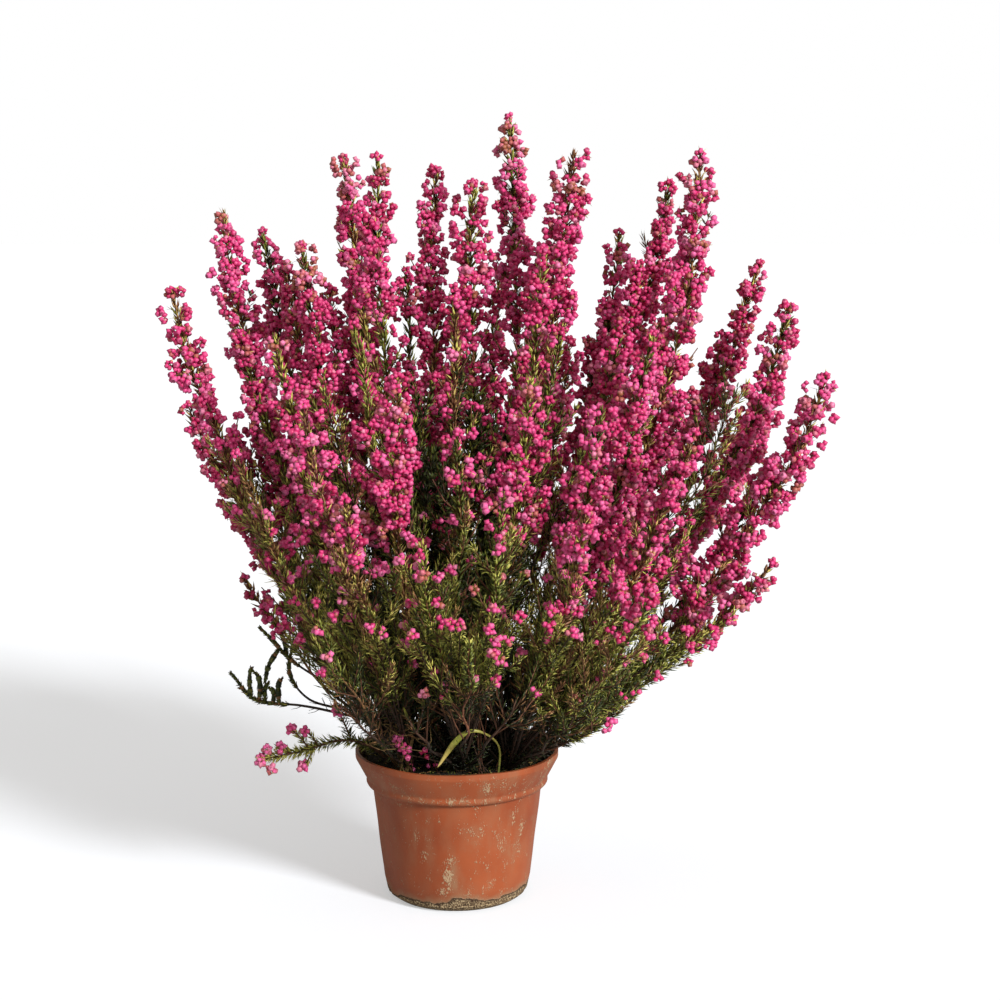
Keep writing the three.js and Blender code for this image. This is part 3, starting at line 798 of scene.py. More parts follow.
def spike(plant, line, start, radius, tone, rng, fullness, heads, main=False, worn=False, closed=False):
    """Heads of flowers on short stalks round a leafy line, smaller towards its tip

    A main one has more heads near its tip and more needles, a worn one has a brown tip, and a closed one
    has no open flowers.
    """
    flowers, buds, *others = plant.beds
    beds = (buds if closed else flowers, buds, *others)
    s = start + 1.0
    phase = rng.uniform(0, TURN)
    whorl = 0
    while s < line.length - 3:
        left = line.length - s
        room = 1.2 * radius * min(1, 0.62 + (s - start) / 40, 0.8 + left / 70) * rng.uniform(0.8, 1.12)
        along, side, across = line.frame(s)
        at = line.at(s)
        share = bloom_share(at) * fullness
        n = heads + (left < 110) + (main and left < 85) + (radius > 10.4) if left > 15 else 3
        share *= np.interp(left, [70, 150], [1.0, 0.76])
        if at[0] < -50 and at[1] < 40:
            share *= np.interp(at[2], [200, 310], [0.55, 1.0])
        hue = tone + rng.normal(0, 0.06)
        if rng.random() < PALE_SHARE:
            hue = PALE_TONE
        if worn and left < 30:
            hue = WORN_TIP_TONE
        if hidden(at):
            share *= 0.2
        for i in range(n):
            if rng.random() > share:
                continue
            turn = phase + TURN * i / n + rng.normal(0, 0.3)
            out = side * math.cos(turn) + across * math.sin(turn)
            reach = max(1.4, room * rng.uniform(0.58, 1.04) - 4.0)
            foot = at + out * reach + along * rng.uniform(-1.5, 1.5)
            facing = unit(out + along * rng.uniform(-0.5, 0.6) - UP * 0.15)
            count = rng.choice([4, 5, 6, 7], p=[0.2, 0.35, 0.3, 0.15]) if left > 14 else 5
            size = min(1.04, 0.94 + left / 100) * rng.uniform(0.94, 1.04)
            cluster(beds, foot, facing, count, size, hue + rng.normal(0, 0.08), rng)
            stick = foot - at
            tall = np.linalg.norm(stick)
            plant.sticks.add(at, stick / tall, 0, 0.4, tall, 0.72)
        phase += 0.9
        s += rng.uniform(*WHORL_STEPS[whorl % 2])
        whorl += 1
    if rng.random() < bloom_share(line.points[-1]) * fullness + 0.05:
        along = line.frame(line.length)[0]
        facing = unit(along + rng.normal(0, 0.35, 3))
        cluster(beds, line.points[-1] - along * 1.5, facing, rng.integers(6, 9), 0.88, tone, rng, 2.1)
    leaf_tone = rng.uniform(0.4, 0.68) if rng.random() < 0.5 else rng.uniform(0.88, 1.0)
    kind, bare = (NEEDLES["spike"], 4) if main else (NEEDLES["side spike"], 9)
    needles_along(plant.foliage, line, start, line.length - bare, kind, leaf_tone, rng, anywhere=True)


def leafy_twig(plant, twig, base, near_bloom, rng):
    """A twig with needles and, here and there, a head of flowers at its end"""
    plant.wood.tube(twig, 0, twig.length - 0.5, (0.55, 0.28), 3, 14, 0.5)
    end = twig.points[-1]
    far = math.hypot(end[0], end[1])
    # Twigs deep in the plant get dark needles, and the others are lighter the farther out they reach:
    # painted shade inside the plant
    if far < 0.42 * end[2] - 12:
        needles_along(plant.foliage, twig, 2.5, twig.length, NEEDLES["inner twig"], 0.22, rng)
    else:
        leaf_tone = base - 0.22 + 0.0023 * far + rng.normal(0, 0.19)
        if rng.random() < np.interp(end[2], [140, 210], [0.38, 0.14]):
            leaf_tone = rng.uniform(0.9, 1.0)
        needles_along(plant.foliage, twig, 2.5, twig.length, NEEDLES["twig"], leaf_tone, rng)
    if rng.random() < 0.05 + 0.12 * near_bloom:
        worn = rng.random()
        hue = 0.62 if worn < 0.66 else (0.86 if worn < 0.88 else 0.97)
        cluster(plant.beds, end, twig.frame(twig.length)[0], 5, 0.92, hue, rng)


def grow(index, name, root, shoots):
    """The flowers, needles and wood of one main stem"""
    plant = Growth()
    for i, shoot in enumerate(shoots):
        rng = np.random.default_rng([11, index, i])
        key = f"{name}_{i + 1}"
        line = shoot_line(root, shoot, rng)
        bloom = shoot[3]
        start = line.length - bloom
        fullness = FULLNESS.get(key, PLAIN_FULLNESS)
        foot_r = 1.25 if i < 3 else 0.85
        # The foot of each stem has dark bark, and needles in dark greens or the dry tone: the darkness is
        # painted shade under the leaves
        plant.wood.tube(line, 0, 60, (foot_r, 0.85), 4, 7.5, rng.uniform(0.0, 0.22))
        dead = rng.choice([0.04, 0.14, 0.24, 0.98])
        needles_along(plant.foliage, line, 7, 50, NEEDLES["stem foot"], dead, rng, anywhere=True)
        bark = rng.uniform(0.5, 0.75) if bloom else 0.3
        plant.wood.tube(line, 59, line.length - 1, (0.9, 0.42), 3, 10, bark)
        base = 0.50 + rng.normal(0, 0.05)
        # Spikes towards the front are a lighter pink: painted light where the lamp falls on the front of the
        # plant
        tone = 0.46 + rng.normal(0, 0.06) + 0.12 * np.interp(-shoot[1], [20, 120], [0, 1])
        if bloom:
            wide = shoot[4] * WIDER.get(key, 1.0)
            spike(plant, line, start, wide, tone, rng, fullness, 3, main=True, worn=key in WORN)
        bare = BARE.get(name, PLAIN_BARE)
        needles_along(plant.foliage, line, bare + 4, start, NEEDLES["stem"], base, rng)
        s = float(bare)
        turn = rng.uniform(0, TURN)
        last = line.length - (46 if bloom else 10)
        while s < last:
            along, out = line.normal(s, turn)
            at = line.at(s)
            turn += GOLDEN + rng.normal(0, 0.25)
            if bloom and s > start - 6 and rng.random() < bloom_share(at + out * 8 + UP * 12) * fullness:
                low = (last - s) / (last - start + 6)
                twig = side_twig(at, out, along, rng.uniform(14, 24) + 24 * low, 1.2)
                plant.wood.tube(twig, 0, twig.length - 0.5, (0.6, 0.35), 3, 14, 0.55)
                spike(plant, twig, 9, 6.2, tone + rng.normal(0, 0.05), rng, 0.85 * fullness, 2)
                s += rng.uniform(8, 12)
                continue
            low = np.interp(s, [34, start + 34], [1.0, 0.35])
            length = rng.uniform(20, 36) * (0.6 + 0.65 * low)
            twig = side_twig(at, out, along, length, rng.uniform(0.7, 2.2))
            if misplaced(twig):
                s += 4.0
                continue
            leafy_twig(plant, twig, base, bloom > 0 and s > start - 25, rng)
            s += rng.uniform(4.6, 6.8)
    spikes = [f"spike_{name}_{i + 1}" for i, shoot in enumerate(shoots) if shoot[3]]
    plant.pieces(f"flowers_{name}", f"needles_{name}", f"wood_{name}", spikes, [f"stem_{name}"])


# Single heads low on the front, each on its own twig, as (x, y, z, flowers, tone)
LOW_HEADS = [
    (-81, -90, 225, 5, 0.54), (-87, -75, 189, 4, 0.47), (-73, -90, 192, 4, 0.52),
    (-64, -95, 185, 5, 0.58), (-43, -115, 183, 5, 0.60), (-36, -115, 180, 4, 0.64),
    (-21, -120, 180, 5, 0.58), (-21, -112, 195, 4, 0.54), (-8, -118, 197, 5, 0.60),
    (-1, -128, 188, 5, 0.50), (5, -128, 187, 5, 0.52), (22, -125, 195, 5, 0.62),
    (20, -128, 184, 6, 0.62), (23, -130, 179, 6, 0.64), (30, -128, 179, 4, 0.62),
    (22, -130, 172, 6, 0.62), (26, -130, 168, 4, 0.58), (36, -120, 190, 5, 0.54),
    (52, -115, 192, 5, 0.52), (51, -115, 184, 4, 0.52), (11, -118, 156, 4, 0.58),
    (23, -120, 156, 5, 0.60), (64, -110, 179, 6, 0.58), (67, -105, 190, 5, 0.54),
    (73, -105, 205, 4, 0.58), (92, -95, 172, 5, 0.58), (92, -90, 160, 5, 0.62),
    (113, -60, 144, 4, 0.54), (100, -75, 138, 2, 0.52), (92, -80, 137, 2, 0.50),
    (86, -75, 122, 5, 0.64), (84, -78, 119, 3, 0.62), (131, -45, 149, 5, 0.42),
    (153, -50, 174, 5, 0.52), (144, -55, 168, 4, 0.47), (142, -52, 160, 5, 0.54),
    (-95, -55, 171, 5, 0.42), (-100, -50, 165, 4, 0.37), (-85, -70, 167, 4, 0.47),
    (-5, -95, 139, 1, 0.52), (-3, -95, 146, 2, 0.87), (-59, -100, 194, 3, 0.82),
    (69, -80, 136, 3, 0.85), (44, -90, 143, 2, 0.62), (-39, -110, 212, 6, 0.66),
    (-17, -112, 210, 6, 0.64), (-6, -115, 210, 5, 0.66), (0, -115, 214, 5, 0.64),
    (-27, -112, 219, 6, 0.68), (-32, -46, 104, 5, 0.64), (-29, -47, 100, 4, 0.62),
    (-27, -48, 96, 3, 0.58), (-17, -47, 97, 3, 0.32), (90, -85, 193, 5, 0.60), (109, -70, 177, 5, 0.58),
    (104, -75, 158, 5, 0.60), (129, -55, 169, 6, 0.54), (131, -55, 160, 5, 0.52),
    (122, -55, 192, 5, 0.58), (109, -65, 195, 5, 0.62), (80, -85, 150, 3, 0.54),
    (117, -60, 165, 5, 0.56),
]
# The tips of leafy shoots without flowers at the sides
SIDE_SHOOTS = [
    (-143, 42, 246), (-130, 20, 236), (-122, 56, 230), (-112, 25, 220), (-116, -6, 218),
    (-102, -26, 206), (-96, 58, 226), (-88, 15, 216), (-112, 74, 246), (-134, 68, 258), (-88, -8, 168),
    (-80, -36, 158), (-76, 18, 158), (-98, 24, 182), (120, 40, 184), (106, 8, 170), (136, 62, 204),
    (94, 52, 172),
]
# How many leafy shoots without flowers are low, are tall, and are deep in the middle
SHOOT_COUNTS = {"low": 46, "tall": 18, "deep": 12}


def undergrowth():
    """Leafy shoots without flowers that close the middle and the sides of the plant"""
    foliage, wood = Batch(), Batch()
    kinds = [kind for kind, count in SHOOT_COUNTS.items() for _ in range(count)]
    placed = len(kinds)
    for i, kind in enumerate(kinds + ["side"] * len(SIDE_SHOOTS)):
        rng = np.random.default_rng([81, i])
        low, deep = kind == "low", kind == "deep"
        z = rng.uniform(118, 190) if low else rng.uniform(225, 320)
        reach = 0.5 * z - 6 if low else 0.36 * z - 14
        if deep:
            z, reach = rng.uniform(215, 300), 42
        root, tip = ROOTS[i % len(ROOTS)], np.array([*in_disc(reach, rng), z])
        # Low and deep shoots have dark needles, near black at the feet of the low ones: painted shade deep
        # in the plant
        tone = 0.26
        if kind == "side":
            tip = np.array(SIDE_SHOOTS[i - placed], float)
            root = root_near(tip[0], tip[1])
        line = bowed(root, tip, (0.5, 0.5, 0.55), 30)
        first = 26 if low else 0.42 * line.length
        if low:
            needles_along(foliage, line, 6, first, NEEDLES["inner foot"], 0.08, rng, anywhere=True)
        else:
            tone = rng.choice([0.42, 0.58, 0.95])
        if deep:
            tone = 0.24
        if kind == "side":
            tone = rng.choice([0.5, 0.62, 0.72])
        wide = 0.95 if low or deep else 0.55
        wood.tube(line, 0, line.length - 1, (0.9, 0.4), 3, 14, 0.12)
        needles_along(foliage, line, first, line.length, (4.0, 7.4, 4, 0.5, wide), tone, rng)
        pitch, step, lift = (6.0, 8.0, 0.9) if low else (4.6, 10.0, 2.6)
        for s in np.arange(first, line.length - 8, step):
            along, out = line.normal(s, rng.uniform(0, TURN))
            twig = side_twig(line.at(s), out, along, rng.uniform(16, 28), lift)
            if misplaced(twig):
                continue
            shade = tone + rng.normal(0, 0.08)
            needles_along(foliage, twig, 1.0, twig.length, (pitch, 8.0, 4, 0.55, wide), shade, rng)
            wood.tube(twig, 0, twig.length - 1, (0.5, 0.3), 3, 28, 0.4)
    batch_piece("inner_needles", foliage, FOLIAGE)
    batch_piece("inner_wood", wood, BARK)


# Shorter spikes between the main ones, as (x, y, z, length)
MORE_SPIKES = [
    (-129, 40, 331, 105), (-105, 70, 371, 115), (-81, 95, 356, 105), (-61, 90, 387, 120),
    (-32, 70, 367, 115), (-3, 105, 347, 105), (25, 85, 367, 115), (50, 40, 381, 115), (87, 75, 329, 95),
    (111, 80, 371, 115), (136, 70, 375, 115), (163, 60, 327, 95), (188, 40, 299, 85),
    (93, -20, 340, 105), (60, -10, 334, 105), (-109, 0, 197, 40), (-94, -30, 182, 34),
    (144, -10, 178, 40), (162, 20, 196, 45), (-124, 62, 276, 75), (-112, 54, 268, 65),
    (-135, 52, 268, 60), (-100, 64, 240, 45), (182, -20, 262, 70),
]


def more_spikes():
    """Shorter spikes that close the gaps between the main ones. Those at the back have no open flowers."""
    plant = Growth()
    for i, (x, y, z, bloom) in enumerate(MORE_SPIKES):
        rng = np.random.default_rng([91, i])
        line = shoot_line(root_near(x, y), (x, y, z), rng)
        plant.wood.tube(line, 0, line.length - 1, (0.8, 0.4), 3, 10, 0.4)
        start = line.length - bloom
        tone = 0.44 + rng.normal(0, 0.06)
        spike(plant, line, start, 9.5, tone, rng, 0.95, 3, main=True, closed=y > 60)
        leaf_tone = rng.uniform(0.4, 0.7)
        needles_along(plant.foliage, line, 0.5 * start, start, NEEDLES["under spike"], leaf_tone, rng)
    plant.pieces("more_flowers", "more_needles", "more_wood")


def low_heads():
    """The single heads at the front and the twigs that carry them"""
    plant = Growth()
    roots = [root for name, (root, _) in STEMS.items() if name.startswith("front")]
    for i, (x, y, z, count, tone) in enumerate(LOW_HEADS):
        rng = np.random.default_rng([71, i])
        root = min(roots, key=lambda root: abs(root[0] - 0.4 * x))
        tip = np.array([x, y, z], float)
        line = bowed(root, tip, (0.62, 0.62, 0.75), 40, rng.normal(0, 2.5, 3))
        plant.wood.tube(line, 0, line.length, (0.8, 0.35), 3, 9, 0.2)
        facing = unit(line.frame(line.length)[0] + UP * 0.3 + np.array([0, -0.5, 0]))
        cluster(plant.beds, tip, facing, count, 0.96, tone, rng)
        if line.length < 60:
            continue
        leafy = max(38, 0.48 * line.length)
        leaf_tone = rng.uniform(0.42, 0.78)
        needles_along(plant.foliage, line, leafy, line.length, NEEDLES["low head"], leaf_tone, rng)
        for s in rng.uniform(leafy, line.length - 8, 2):
            along, out = line.normal(s, rng.uniform(0, TURN))
            twig = side_twig(line.at(s), out, along, rng.uniform(15, 25), 1.5)
            if misplaced(twig):
                continue
            plant.wood.tube(twig, 0, twig.length - 0.5, (0.5, 0.28), 3, 12, 0.5)
            leaf_tone = rng.uniform(0.42, 0.78)
            needles_along(plant.foliage, twig, 2.5, twig.length, NEEDLES["low twig"], leaf_tone, rng)
    plant.pieces("low_heads_flowers", "low_heads_needles", "low_heads_wood")


# Pot: the outer and inner profiles as (radius, height), from the axis to the lip and back
POT_OUT = [
    (0, 0), (10, 0), (11.2, 1.2), (30.8, 1.2), (32, 0), (37, 0), (41.2, 3), (43.4, 12), (49.8, 66.6),
    (52.4, 67.0), (53.6, 68.8), (53.3, 71.2), (54.4, 73.2), (57, 78), (60, 83.6), (60, 87),
]
POT_IN = [(58, 87), (55.4, 78), (49.8, 69.3), (42, 12), (39.4, 4.2), (37, 3.4), (0, 3.4)]
POT_SIDES = 96
DRAINS = 6
DRAIN_R = 3.6
DRAIN_AT_R = 20.5
# The dent in the band at the right and the bulge beside it, as (angle from the front, half width)
DENT = (71, 4.0)
BULGE = (62, 5.0)
# Patches of lime on the pot, as (angle from the front, height, their half widths, strength)
LIME = [
    (-3, 26, 6, 9, 0.85), (-2, 19, 4, 5, 0.8), (-26, 46, 9, 13, 0.55), (12, 53, 8, 4, 0.5),
    (24, 80, 15, 6, 0.7), (66, 80, 13, 10, 0.9), (45, 38, 8, 8, 0.6), (5, 10, 12, 6, 0.75),
    (30, 20, 5, 5, 0.6), (30, 45, 26, 14, 0.2), (-54, 77, 18, 8, 0.45), (4, 70, 40, 3, 0.75),
    (170, 40, 30, 20, 0.7), (-110, 60, 24, 14, 0.6), (128, 30, 14, 14, 0.8), (-140, 20, 12, 10, 0.9),
]
PLAIN_LIME = 0.24


def softened(profile, cut, run):
    """A profile with its corners rounded off and its long runs divided"""
    p = np.array(profile, float)
    out = [p[0]]
    for before, corner, after in zip(p, p[1:], p[2:]):
        a = corner + unit(before - corner) * min(cut, 0.4 * np.linalg.norm(before - corner))
        b = corner + unit(after - corner) * min(cut, 0.4 * np.linalg.norm(after - corner))
        out += [a, 0.25 * a + 0.5 * corner + 0.25 * b, b]
    out.append(p[-1])
    fine = []
    for a, b in zip(out, out[1:]):
        steps = max(1, int(np.linalg.norm(b - a) / run))
        fine += [a + (b - a) * t / steps for t in range(steps)]
    return np.array(fine + [out[-1]])


def lathe(profile, sides):
    """The skin about the axis of a profile that starts and ends on it"""
    angles = TURN * np.arange(sides) / sides
    rings = profile[1:-1]
    radius, height = rings[:, :1], np.repeat(rings[:, 1:], sides, 1)
    verts = np.stack([radius * np.sin(angles), -radius * np.cos(angles), height], axis=-1).reshape(-1, 3)
    verts = np.concatenate([verts, [[0, 0, profile[0][1]], [0, 0, profile[-1][1]]]])
    return verts, skin(len(rings), sides)


def roughness_at(verts, scale, seed):
    """A smooth random number from about -1 to 1 at each vertex"""
    return np.array([mathutils.noise.noise(Vector(v) / scale + Vector((seed, 0, 0))) for v in verts])


def pot_angle(verts):
    """Each vertex's angle from the front of the pot, in degrees"""
    return np.degrees(np.arctan2(verts[:, 0], -verts[:, 1]))


def wear(verts):
    """Move the pot's vertices as the dent, its uneven wall and the soil at its foot do"""
    radius = np.hypot(verts[:, 0], verts[:, 1])
    angle, z = pot_angle(verts), verts[:, 2]
    dent, bulge = (np.exp(-(((angle - at) / wide) ** 2)) for at, wide in (DENT, BULGE))
    crease = dent - 0.45 * bulge
    shift = -1.5 * crease * np.clip((z - 66) / 8, 0, 1)
    shift += 0.35 * roughness_at(verts, 22, 3.0) * np.clip(z / 20, 0, 1)
    soil = (radius > 37.5) & (z < 12)
    shift += np.where(soil, 0.45 * roughness_at(verts, 2.2, 9.0) * np.clip(1.2 - z / 12, 0, 1), 0)
    verts[:, :2] *= np.where(radius > 36, 1 + shift / np.maximum(radius, 1), 1)[:, None]
    verts[:, 2] += np.where(z > 84, 0.5 * roughness_at(verts, 30, 5.0) - 1.0 * crease, 0)


def drilled(made):
    """The pot's mesh with the drain holes cut through its floor"""
    drain = turned((-8, 0), [(DRAIN_R, -8, 0), (DRAIN_R, 8, 1)], (8, 1), 16)
    turns = TURN * np.arange(DRAINS) / DRAINS
    spots = np.stack([np.cos(turns), np.sin(turns), np.zeros(DRAINS)], 1) * DRAIN_AT_R
    ones = np.ones(DRAINS)
    cutters = Batch()
    cutters.place(drain, spots, np.tile(UP, (DRAINS, 1)), 0 * ones, ones, ones, ones)
    cutter = batch_piece("drain_cutter", cutters, POT)
    cut = made.modifiers.new("drains", "BOOLEAN")
    cut.operation = "DIFFERENCE"
    cut.object = cutter
    cut.solver = "EXACT"
    seen = bpy.context.evaluated_depsgraph_get()
    mesh = bpy.data.meshes.new_from_object(made.evaluated_get(seen))
    made.modifiers.clear()
    bpy.data.objects.remove(cutter)
    return mesh


def pot():
    """The pot, with lime on its outside and dirt at its foot and inside"""
    profile = np.concatenate([softened(POT_OUT, 0.7, 4.2), softened(POT_IN, 0.6, 12)])
    verts, faces = lathe(profile, POT_SIDES)
    wear(verts)
    made = mesh_piece("pot_shell", verts, faces, POT, ["pot"])
    mesh = made.data = drilled(made)
    mesh.polygons.foreach_set("use_smooth", np.ones(len(mesh.polygons), bool))
    mesh.set_sharp_from_angle(angle=math.radians(42))
    flat = np.empty(3 * len(mesh.vertices), np.float32)
    mesh.vertices.foreach_get("co", flat)
    v = flat.reshape(-1, 3) / MM
    angle, z = pot_angle(v), v[:, 2]
    outside = np.hypot(v[:, 0], v[:, 1]) > np.interp(z, [0, 12, 68, 78, 87], [36, 42.4, 49.4, 56, 58.6])
    lime = np.full(len(v), PLAIN_LIME)
    for at, height, wide, tall, strength in LIME:
        away = (angle - at + 180) % 360 - 180
        lime += strength * np.exp(-((away / wide) ** 2) - ((z - height) / tall) ** 2)
    dirt = np.where(outside, np.clip(1.15 - z / 12, 0, 1), np.where(z < 80, 0.75, 0.35))
    set_values(mesh, {"lime": np.where(outside, lime, 0), "dirt": dirt})


# Peat: its profile below the surface, and how many crumbs, tufts of moss and fallen needles it has
PEAT_SIDE = [(0, 3.75), (36.65, 3.75), (39.05, 4.55), (41.65, 12), (49.45, 69.3), (53.2, 77.4)]
CRUMBS = 520
MOSS_TUFTS = 260
FALLEN_NEEDLES = 420


def peat():
    """Dark crumbly peat with moss and fallen needles"""
    top = [(r, PEAT_Z) for r in np.linspace(52.6, 0, 26)]
    verts, faces = lathe(np.array(PEAT_SIDE + top, float), 80)
    on_top = verts[:, 2] == PEAT_Z
    lumps = 1.1 * roughness_at(verts, 7, 1.0) + 0.7 * roughness_at(verts, 2.4, 2.0)
    edge = np.interp(np.hypot(verts[:, 0], verts[:, 1]), [46, 53], [0, 1])
    surface = peat_height(verts[:, 0], verts[:, 1]) + lumps * (1 - edge) - 1.5 * edge
    verts[:, 2] = np.where(on_top, surface, verts[:, 2])
    ground, litter = Batch(), Batch()
    ground.add(verts, faces, 0.45 + 0.3 * roughness_at(verts, 5, 4.0), np.zeros(len(verts)))
    rng = np.random.default_rng(21)
    crumbs, needles = Bed(CRUMB), Bed(NEEDLE)
    for _ in range(CRUMBS):
        x, y = in_disc(51.5, rng)
        axis = unit(rng.normal(0, 1, 3))
        size = rng.uniform(0.35, 1.15)
        at = on_peat(x, y, -0.2 - 1.2 * np.interp(math.hypot(x, y), [46, 52], [0, 1]))
        tall = size * rng.uniform(0.7, 1.2)
        crumbs.add(at, axis, 0, size, tall, rng.choice([0.1, 0.4, 0.7, 0.95], p=[0.3, 0.4, 0.22, 0.08]))
    for _ in range(MOSS_TUFTS):
        at = on_peat(*in_disc(50, rng), -0.6)
        tone = rng.uniform(0.05, 0.5)
        for _ in range(rng.integers(4, 9)):
            axis = unit(rng.normal(0, 0.75, 3) + UP)
            foot = at + rng.normal(0, 0.9, 3) * (1, 1, 0.2)
            needles.add(foot, axis, rng.uniform(0, TURN), 0.3, rng.uniform(2, 4.5), tone)
    for _ in range(FALLEN_NEEDLES):
        at = on_peat(*in_disc(51, rng), 0.5)
        axis = unit(rng.normal(0, 1, 3) * (1, 1, 0.15))
        needles.add(at, axis, rng.uniform(0, TURN), 0.32, rng.uniform(3.5, 6), rng.uniform(0.84, 1.0))
    crumbs.lay(ground)
    needles.lay(litter)
    batch_piece("peat_surface", ground, PEAT, ["peat"])
    batch_piece("moss_and_fallen_needles", litter, FOLIAGE)


# Bare twigs: how many stand between the stems, the foot and tips of the fan at the front, and how many
# make the tangle to the left of it
BARE_TWIGS = 64
FAN_FOOT = (14, -32, 79)
FAN_TIPS = [
    (-9, -50, 132), (-3, -54, 143), (6, -56, 150), (14, -56, 153), (23, -54, 148), (31, -50, 138),
    (-12, -46, 122), (36, -48, 126),
]
TANGLE_TWIGS = 18
TANGLE_FOOT = (-30, -30, 79)
TANGLE_BOX = ((-50, -62, 102), (-14, -40, 126))


def dead_twigs():
    """Thin bare twigs low between the stems"""
    batch = Batch()
    rng = np.random.default_rng(31)
    for _ in range(BARE_TWIGS):
        a = on_peat(*in_disc(38, rng), -1.5)
        reach = rng.uniform(14, 36)
        way = unit(a * (1, 1, 0) / 30 + rng.normal(0, 0.5, 3) + UP * 0.8)
        b = a + way * reach * 0.5 + rng.normal(0, 3, 3) + UP * 4
        c = a + way * reach + rng.normal(0, 5, 3)
        c[2] = max(c[2], a[2] + 4)
        batch.tube(bezier(a, b, c, 14), 0, reach * 0.8, (0.55, 0.25), 3, 5, rng.uniform(0.0, 0.5))
    for tip in FAN_TIPS:
        a = FAN_FOOT + rng.normal(0, 1.5, 3) * (1, 1, 0)
        c = np.array(tip, float)
        out = c[0] - FAN_FOOT[0]
        bend = np.array([FAN_FOOT[0] + 0.25 * out, -36, 108]) + rng.normal(0, 2.5, 3)
        line = through([a, bend, c - (0.35 * out, 0, 6), c], 24)
        batch.tube(line, 0, line.length, (0.5, 0.25), 4, 4, rng.uniform(0.15, 0.5))
    for _ in range(TANGLE_TWIGS):
        points = [TANGLE_FOOT + rng.normal(0, 2, 3) * (1, 1, 0)]
        points.append(np.array([rng.uniform(-44, -24), -42, rng.uniform(100, 108)]))
        for _ in range(3):
            points.append(np.clip(points[-1] + rng.normal(0, 7, 3) + (0, -2, 3), *TANGLE_BOX))
        line = through(points, 30)
        batch.tube(line, 0, line.length, (0.5, 0.25), 3, 4, rng.uniform(0.7, 1.0))
    batch_piece("dead_twigs", batch, BARK)


# Dry twigs at the left foot of the plant, and the tufts on the first as (share of it, height, hook)
TWIG_LINES = [
    [(-42, 14, 92), (-55, 19, 99), (-77, 22, 104), (-95, 24, 107), (-122, 26, 110), (-136, 26, 126)],
    [(-42, 14, 92), (-58, 20, 102), (-74, 24, 117), (-99, 28, 133), (-114, 28, 149), (-119, 28, 154)],
    [(-42, 14, 92), (-66, 24, 103), (-90, 31, 109), (-102, 35, 124), (-100, 38, 142)],
]
TUFTS = [(0.655, 15, 1.2), (0.695, 9, -1.4), (0.735, 11, 1.0), (0.775, 18, -1.8), (0.825, 18, 0.8)]
# Where they leave the peat, from what share of its length each has leaves, and two leafy branchlets
TWIG_FOOT = (-42, 14)
LEAFY_FROM = (0.6, 0.66, 0.68)
BRANCHLETS = [
    [(-107, 28, 141), (-110, 28, 137), (-114, 27, 130), (-116, 27, 121)],
    [(-103, 30, 136), (-105, 31, 146), (-110, 30, 156), (-113, 30, 162), (-117, 30, 161)],
]


def dry_twigs():
    """Bare dark twigs with blunt tufts of dead leaves"""
    wood, leaves = Batch(), Batch()
    rng = np.random.default_rng(41)
    lines = [through(points) for points in TWIG_LINES]
    foot = on_peat(*TWIG_FOOT, -3)
    for line in lines:
        line = Line(np.concatenate([[foot], line.points]))
        wood.tube(line, 0, line.length, (1.05, 0.5), 6, 3, 0.06)
    tufts = []
    for share, height, hook in TUFTS:
        x, y, z = lines[0].at(share * lines[0].length)
        # Both numbers are drawn, to keep what the later draws give
        lean = rng.normal(0, 2.0, 2)[1]
        points = [
            (x, y, z - 0.5),
            (x - hook * 0.6, y + lean / 2, z + 0.45 * height),
            (x - hook * 0.2, y + lean, z + 0.85 * height),
            (x + hook, y + lean, z + height),
        ]
        tufts.append((through(points, 18), 0.0))
    tufts += [(through(points, 6 * (len(points) - 1)), 0.0) for points in BRANCHLETS]
    tufts += [(line, share * line.length) for line, share in zip(lines, LEAFY_FROM)]
    for line, start in tufts:
        s = np.linspace(start, line.length, max(4, int((line.length - start) / 1.6)))
        for k, (a, b) in enumerate(zip(s, s[1:])):
            bulge = (1.0 + 0.75 * math.sin(math.pi * (k + 0.6) / len(s))) * rng.uniform(0.7, 1.35)
            if start:
                bulge *= 0.75
            tone = rng.choice([0.15, 0.4, 0.98], p=[0.4, 0.4, 0.2])
            leaves.tube(line, a, b + 0.5, (bulge, bulge * 0.85), 5, 2.4, tone)
        reach = line.length + 0.6
        needles_along(leaves, line, start + 0.5, reach, NEEDLES["tuft"], 0.42, rng, anywhere=True)
        needles_along(leaves, line, start + 0.8, reach, NEEDLES["dry tuft"], 0.96, rng, anywhere=True)
    for line in lines:
        for s in rng.uniform(0.2, 0.55, 7) * line.length:
            along, out = line.normal(s, rng.uniform(0, TURN))
            thorn = side_twig(line.at(s), out, along, rng.uniform(4, 10), 0.5)
            wood.tube(thorn, 0, thorn.length, (0.28, 0.14), 3, 4, 0.15)
    batch_piece("twigs_left", wood, BARK, ["dry_twigs_left"])
    batch_piece("twig_leaves_left", leaves, FOLIAGE)


# The sprig that droops over the lip at the left
SPRIG_FOOT = (-40, -15, 80)
SPRIG_LINE = [
    (-40, -15, 85), (-50, -18, 93), (-60, -20, 97), (-72, -23, 97), (-88, -28, 93), (-112, -33, 89),
]
# The heads at its end, as (steps from there, flower heads)
SPRIG_END = [((2, 0, 6), 1), ((0, 0, 0), 2), ((5, 0, -6), 1)]
# Its side shoots, as (share of its length, steps to the tip, flower heads, tone of flowers, of needles)
SPRIG_SHOOTS = [
    (0.36, (-8, -2, 20), 2, 0.66, 0.5), (0.60, (-5, -3, 9), 1, 0.66, 0.74),
    (0.66, (-9, -4, 12), 1, 0.66, 0.74), (0.62, (-5, -4, -10), 2, 0.76, 0.74),
    (0.80, (-6, -2, 4), 1, 0.76, 0.74),
]


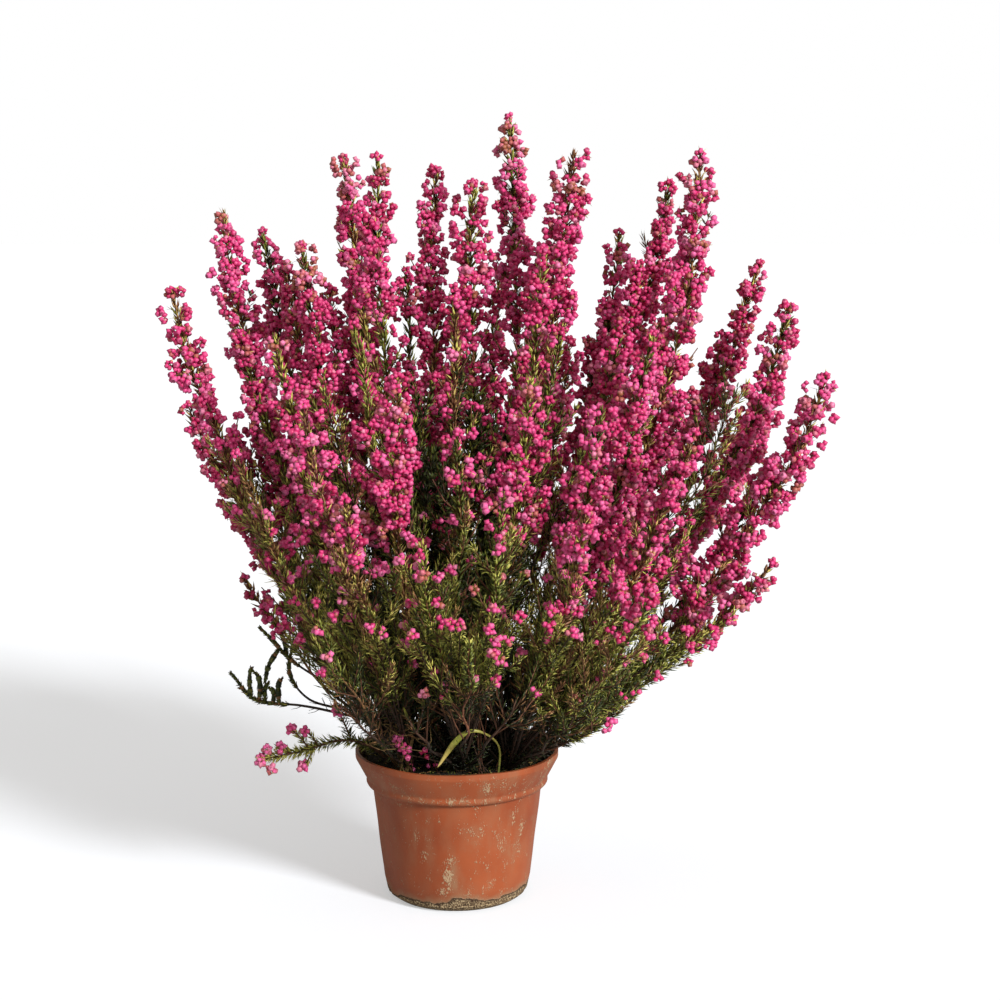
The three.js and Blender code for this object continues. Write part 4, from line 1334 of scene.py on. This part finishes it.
def sprig():
    """A leafy sprig with pale heads of flowers at its tips"""
    plant = Growth()
    wood, leaves = plant.wood, plant.foliage
    rng = np.random.default_rng(51)
    main = Line(np.concatenate([[SPRIG_FOOT], through(SPRIG_LINE).points]))
    end, whole = main.points[-1], main.length
    wood.tube(main, 0, whole, (1.1, 0.5), 6, 4, 0.4)
    needles_along(leaves, main, 14, whole * 0.7, NEEDLES["sprig"], 0.66, rng, anywhere=True)
    needles_along(leaves, main, whole * 0.62, whole + 1, NEEDLES["sprig end"], 0.84, rng, anywhere=True)
    heads = [(end + step, 0.76, count) for step, count in SPRIG_END]
    for share, step, count, tone, leaf_tone in SPRIG_SHOOTS:
        a = main.at(share * whole)
        heads.append((a + step, tone, count))
        twig = bezier(a, a + np.array(step) * 0.5 + (0, 0, 1.5), a + step, 10)
        wood.tube(twig, 0, twig.length, (0.6, 0.4), 4, 4, 0.5)
        needles_along(leaves, twig, 1, twig.length, NEEDLES["sprig twig"], leaf_tone, rng, anywhere=True)
    for tip, tone, count in heads:
        for _ in range(count):
            spread = unit(rng.normal(0, 1, 3) + (-0.5, -0.5, 0.1))
            hue = tone + rng.normal(0, 0.03)
            at = tip + spread * 1.2 + rng.normal(0, 1.2, 3) * (count > 1)
            cluster(plant.beds, at, spread, 7, 0.95, hue, rng, 2.2)
    node = ["drooping_sprig_left"]
    plant.pieces("sprig_flowers", "sprig_needles", "sprig_wood", node, node)


# The blade of grass, from the peat over its bend to its tip, and its cross-section as (side, height)
BLADE_LINE = [(24, -37, 78), (25, -44, 98), (19, -55, 109), (9, -60, 113), (0, -58, 106), (-10, -53, 90)]
BLADE_SECTION = [(-1, 0.22), (0, 0), (1, 0.22), (1, 0.42), (0, 0.28), (-1, 0.42)]


def grass_blade():
    """A folded blade, widest near its tip"""
    line = through(BLADE_LINE, 90)
    s = np.linspace(0, line.length, 60)
    u = s / line.length
    half = 0.55 + 1.15 * np.exp(-(((u - 0.76) / 0.15) ** 2))
    half[-3:] *= (0.8, 0.55, 0.25)
    along = line.frame(s)[0]
    flat = unit(np.cross(along, np.array([0.35, -1.0, 0.25])))
    thick = np.cross(flat, along)
    rows = []
    for side, height in BLADE_SECTION:
        rise = half * height * 0.8 + 0.25 * (height > 0.25)
        rows.append(line.at(s) + flat * half[:, None] * side + thick * rise[:, None])
    ring = np.stack(rows, axis=1)
    verts = np.concatenate([ring.reshape(-1, 3), [ring[0].mean(0), ring[-1].mean(0)]])
    values = {"along": np.concatenate([np.repeat(u, len(rows)), [0, 1]])}
    faces = skin(len(s), len(rows))
    mesh_piece("grass_blade_fine", verts, faces, GRASS, ["grass_blade"], values)


# Where heads of flowers have fallen on the peat, as (x, y, flowers)
FALLEN = [(-27, -27, 3), (-14, -26, 2)]


def fallen_flowers():
    """Flowers that lie on the peat near the front"""
    plant = Growth()
    rng = np.random.default_rng(61)
    for x, y, count in FALLEN:
        facing = unit(np.array([rng.normal(0, 0.3), -0.7, 0.6]))
        cluster(plant.beds, on_peat(x, y, 2.2), facing, count, 0.92, 0.66, rng)
    plant.lay()
    batch_piece("fallen_flowers", plant.flowers, FLOWERS)


studio()
pot()
peat()
dead_twigs()
dry_twigs()
sprig()
grass_blade()
fallen_flowers()
undergrowth()
low_heads()
more_spikes()
for index, (name, (root, shoots)) in enumerate(STEMS.items()):
    grow(index, name, root, shoots)
